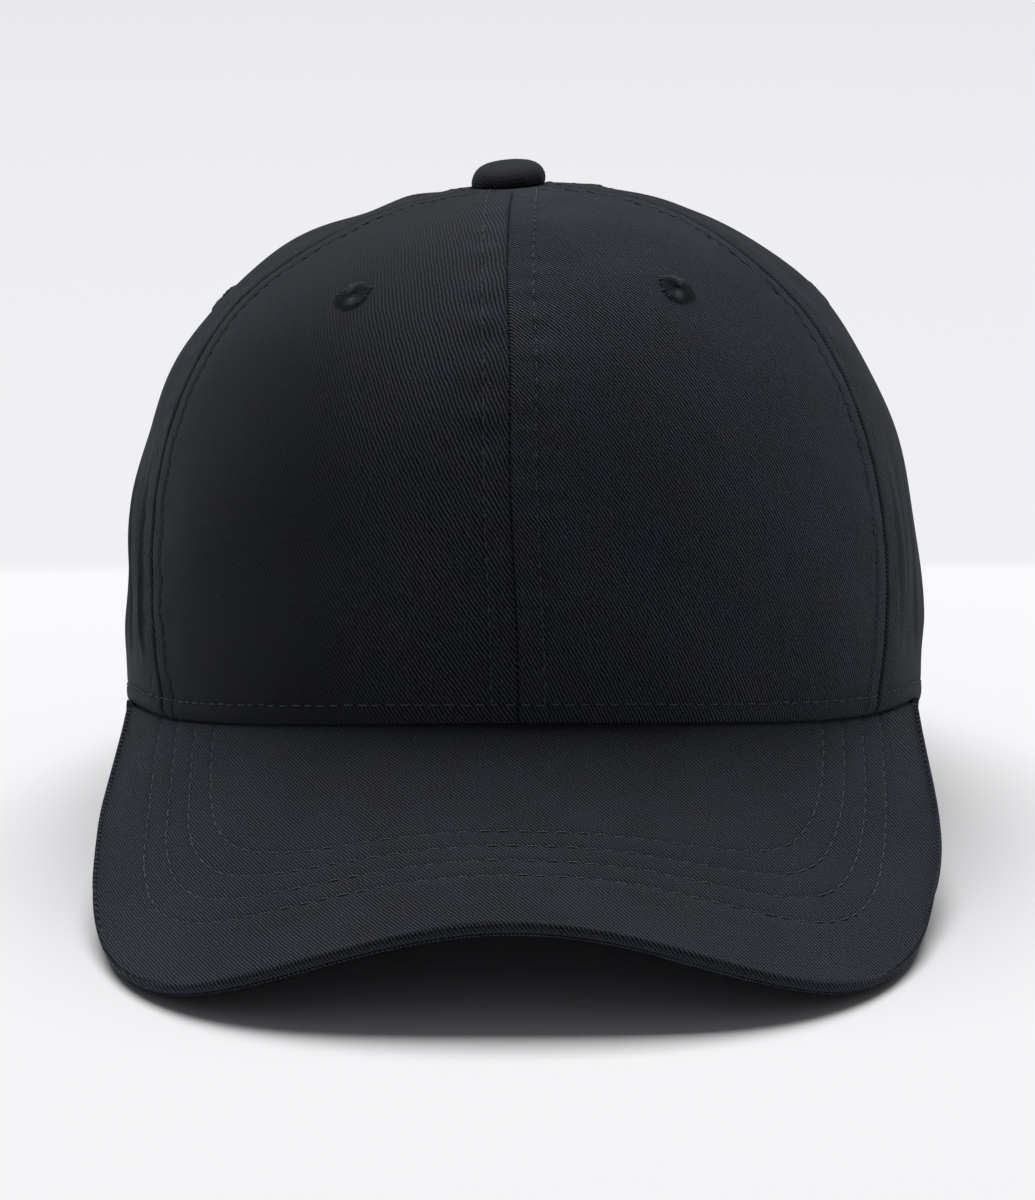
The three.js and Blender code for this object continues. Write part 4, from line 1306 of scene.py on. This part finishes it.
def metal_copy(node, name, width, body, move=None):
    """A softened copy of a metal part: its flats merged and its edges bevelled."""
    source = bpy.data.objects[node]
    places = np.empty(3 * len(source.data.vertices))
    source.data.vertices.foreach_get("co", places)
    places = places.reshape(-1, 3) / MM
    if move:
        places = move(places)
    faces = [polygon.vertices[:] for polygon in source.data.polygons]
    piece = make_object(name, places, faces)
    bpy.context.view_layer.objects.active = piece
    flats = {"decimate_type": "DISSOLVE", "angle_limit": math.radians(1.5)}
    edges = {"width": width * MM, "segments": 3, "limit_method": "ANGLE", "angle_limit": math.radians(40)}
    steps = {"WELD": {"merge_threshold": 1e-6}, "DECIMATE": flats, "BEVEL": edges, "TRIANGULATE": {}}
    for kind, settings in steps.items():
        modifier = piece.modifiers.new(kind.lower(), kind)
        for key, value in settings.items():
            setattr(modifier, key, value)
        bpy.ops.object.modifier_apply(modifier=modifier.name)
    piece.data.polygons.foreach_set("use_smooth", np.ones(len(piece.data.polygons), dtype=bool))
    piece.data.set_sharp_from_angle(angle=math.radians(35))
    dress(piece, [node], MATERIALS["metal"], body)


def back_closure():
    cloth_strap("strap_cloth", -40, 50, strap_depth, "back_strap")
    cloth_strap("strap_tab_cloth", 17.4, 37.4, tab_depth, "strap_tab")
    opening_binding()
    metal_copy("buckle_frame", "clasp_frame_metal", 0.25, "cap")
    metal_copy("buckle_pin", "clasp_pin_metal", 0.12, "cap")
    metal_copy("buckle_lever", "clasp_lever_metal", 0.22, "clasp_lever")
    metal_copy("tuck_grommet", "tuck_grommet_metal", 0.12, "cap")


def nod(places):
    """Tips a part of the button as its cover is tipped."""
    x, y, z = level(places)
    apex = CROWN_HEIGHT + CROWN_PEAK["height"]
    x, y, lift = seat_button(x, y, z - apex)
    return stand(x, y, apex + lift)


def hidden_pieces():
    """The brim's board stays as it is; the button's inner parts settle with its cover."""
    board = bpy.data.objects["brim_board"]
    board.data.materials.clear()
    board.data.materials.append(MATERIALS["board"])
    for node in ("button_core", "button_tack"):
        metal_copy(node, f"{node}_metal", 0.1, "cap", nod)


# ---------------------------------------------------------------- studio
# Where the floor's painted shade begins, and how far back it keeps darkening.
WALL_LINE = 0.212
FLOOR_SHADE_DEPTH = 1.3
SKY_STRENGTH = 0.115
SOFTBOX_PLACE = (-0.25, 2.95, 5.9)
SOFTBOX_SIZE = (7.0, 3.8)
SOFTBOX_POWER = 552


def studio_floor():
    """A pale floor, a shade greyer far behind the cap."""
    size = 6.0
    mesh = bpy.data.meshes.new("floor")
    corners = [(-size, -size, 0), (size, -size, 0), (size, size, 0), (-size, size, 0)]
    mesh.from_pydata(corners, [], [(0, 1, 2, 3)])
    floor = bpy.data.objects.new("floor", mesh)
    bpy.context.scene.collection.objects.link(floor)
    floor.location.z = -0.0002
    paint = Paint("floor_painted_shade")
    # Painted shade: past the wall line the floor turns greyer to stand in for a dimmer backdrop, then
    # darker still towards the back.
    back = paint.math("DIVIDE", paint.split(paint.geometry("Position"))[1], FLOOR_SHADE_DEPTH)
    line = WALL_LINE / FLOOR_SHADE_DEPTH
    near, far, last = (0.905, 0.905, 0.918), (0.82, 0.82, 0.837), (0.68, 0.68, 0.694)
    tone = paint.ramp(back, (line, near), (line + 0.006, far), (1.0, last))
    paint.surface({"Base Color": tone, "Roughness": 0.7, "Specular IOR Level": 0.2})
    mesh.materials.append(paint.material)


def area_light(name, place, target, size, power):
    data = bpy.data.lights.new(name, "AREA")
    data.shape = "RECTANGLE"
    data.size, data.size_y = size
    data.energy = power
    light = bpy.data.objects.new(name, data)
    light.location = place
    light.rotation_euler = (Vector(target) - Vector(place)).to_track_quat("-Z", "Y").to_euler()
    bpy.context.scene.collection.objects.link(light)


def studio_light():
    world = bpy.data.worlds.new("studio")
    world.use_nodes = True
    sky = world.node_tree.nodes["Background"].inputs
    sky[0].default_value = (0.96, 0.98, 1.0, 1)
    sky[1].default_value = SKY_STRENGTH
    bpy.context.scene.world = world
    area_light("top_softbox", SOFTBOX_PLACE, (0, 0.15, 0.0), SOFTBOX_SIZE, SOFTBOX_POWER)
    bpy.context.scene.view_settings.view_transform = "Standard"


CAMERA_DISTANCE = 1.101
CAMERA_RISE = math.radians(15.09)
CAMERA_YAW = math.radians(1.3)
CAMERA_ROLL = math.radians(-0.6)
CAMERA_LENS = 148.3
CAMERA_AIM = Vector((-0.0006, 0.0, 0.0420))


def studio_camera():
    data = bpy.data.cameras.new("camera")
    data.lens = CAMERA_LENS
    data.sensor_width = 36
    data.clip_start = 0.01
    camera = bpy.data.objects.new("camera", data)
    aim = CAMERA_AIM + Vector((0, Y_SHIFT * MM, 0))
    back = Vector((0, -math.cos(CAMERA_RISE), math.sin(CAMERA_RISE)))
    back.rotate(Matrix.Rotation(CAMERA_YAW, 3, "Z"))
    camera.location = aim + back * CAMERA_DISTANCE
    look = (-back).to_track_quat("-Z", "Y").to_matrix()
    camera.rotation_euler = (look @ Matrix.Rotation(CAMERA_ROLL, 3, "Z")).to_euler()
    bpy.context.scene.collection.objects.link(camera)
    bpy.context.scene.camera = camera


studio_camera()
studio_floor()
studio_light()
crown_panels()
crown_stitching()
rim_stitching()
for eyelet_place in EYELET_ANGLES:
    for eyelet_side in SIDES:
        eyelet(eyelet_place, eyelet_side)
brim_top()
brim_under()
brim_stitching()
button()
sweatband()
for buckram_side in SIDES:
    buckram(buckram_side)
seam_tapes()
size_label()
back_closure()
hidden_pieces()
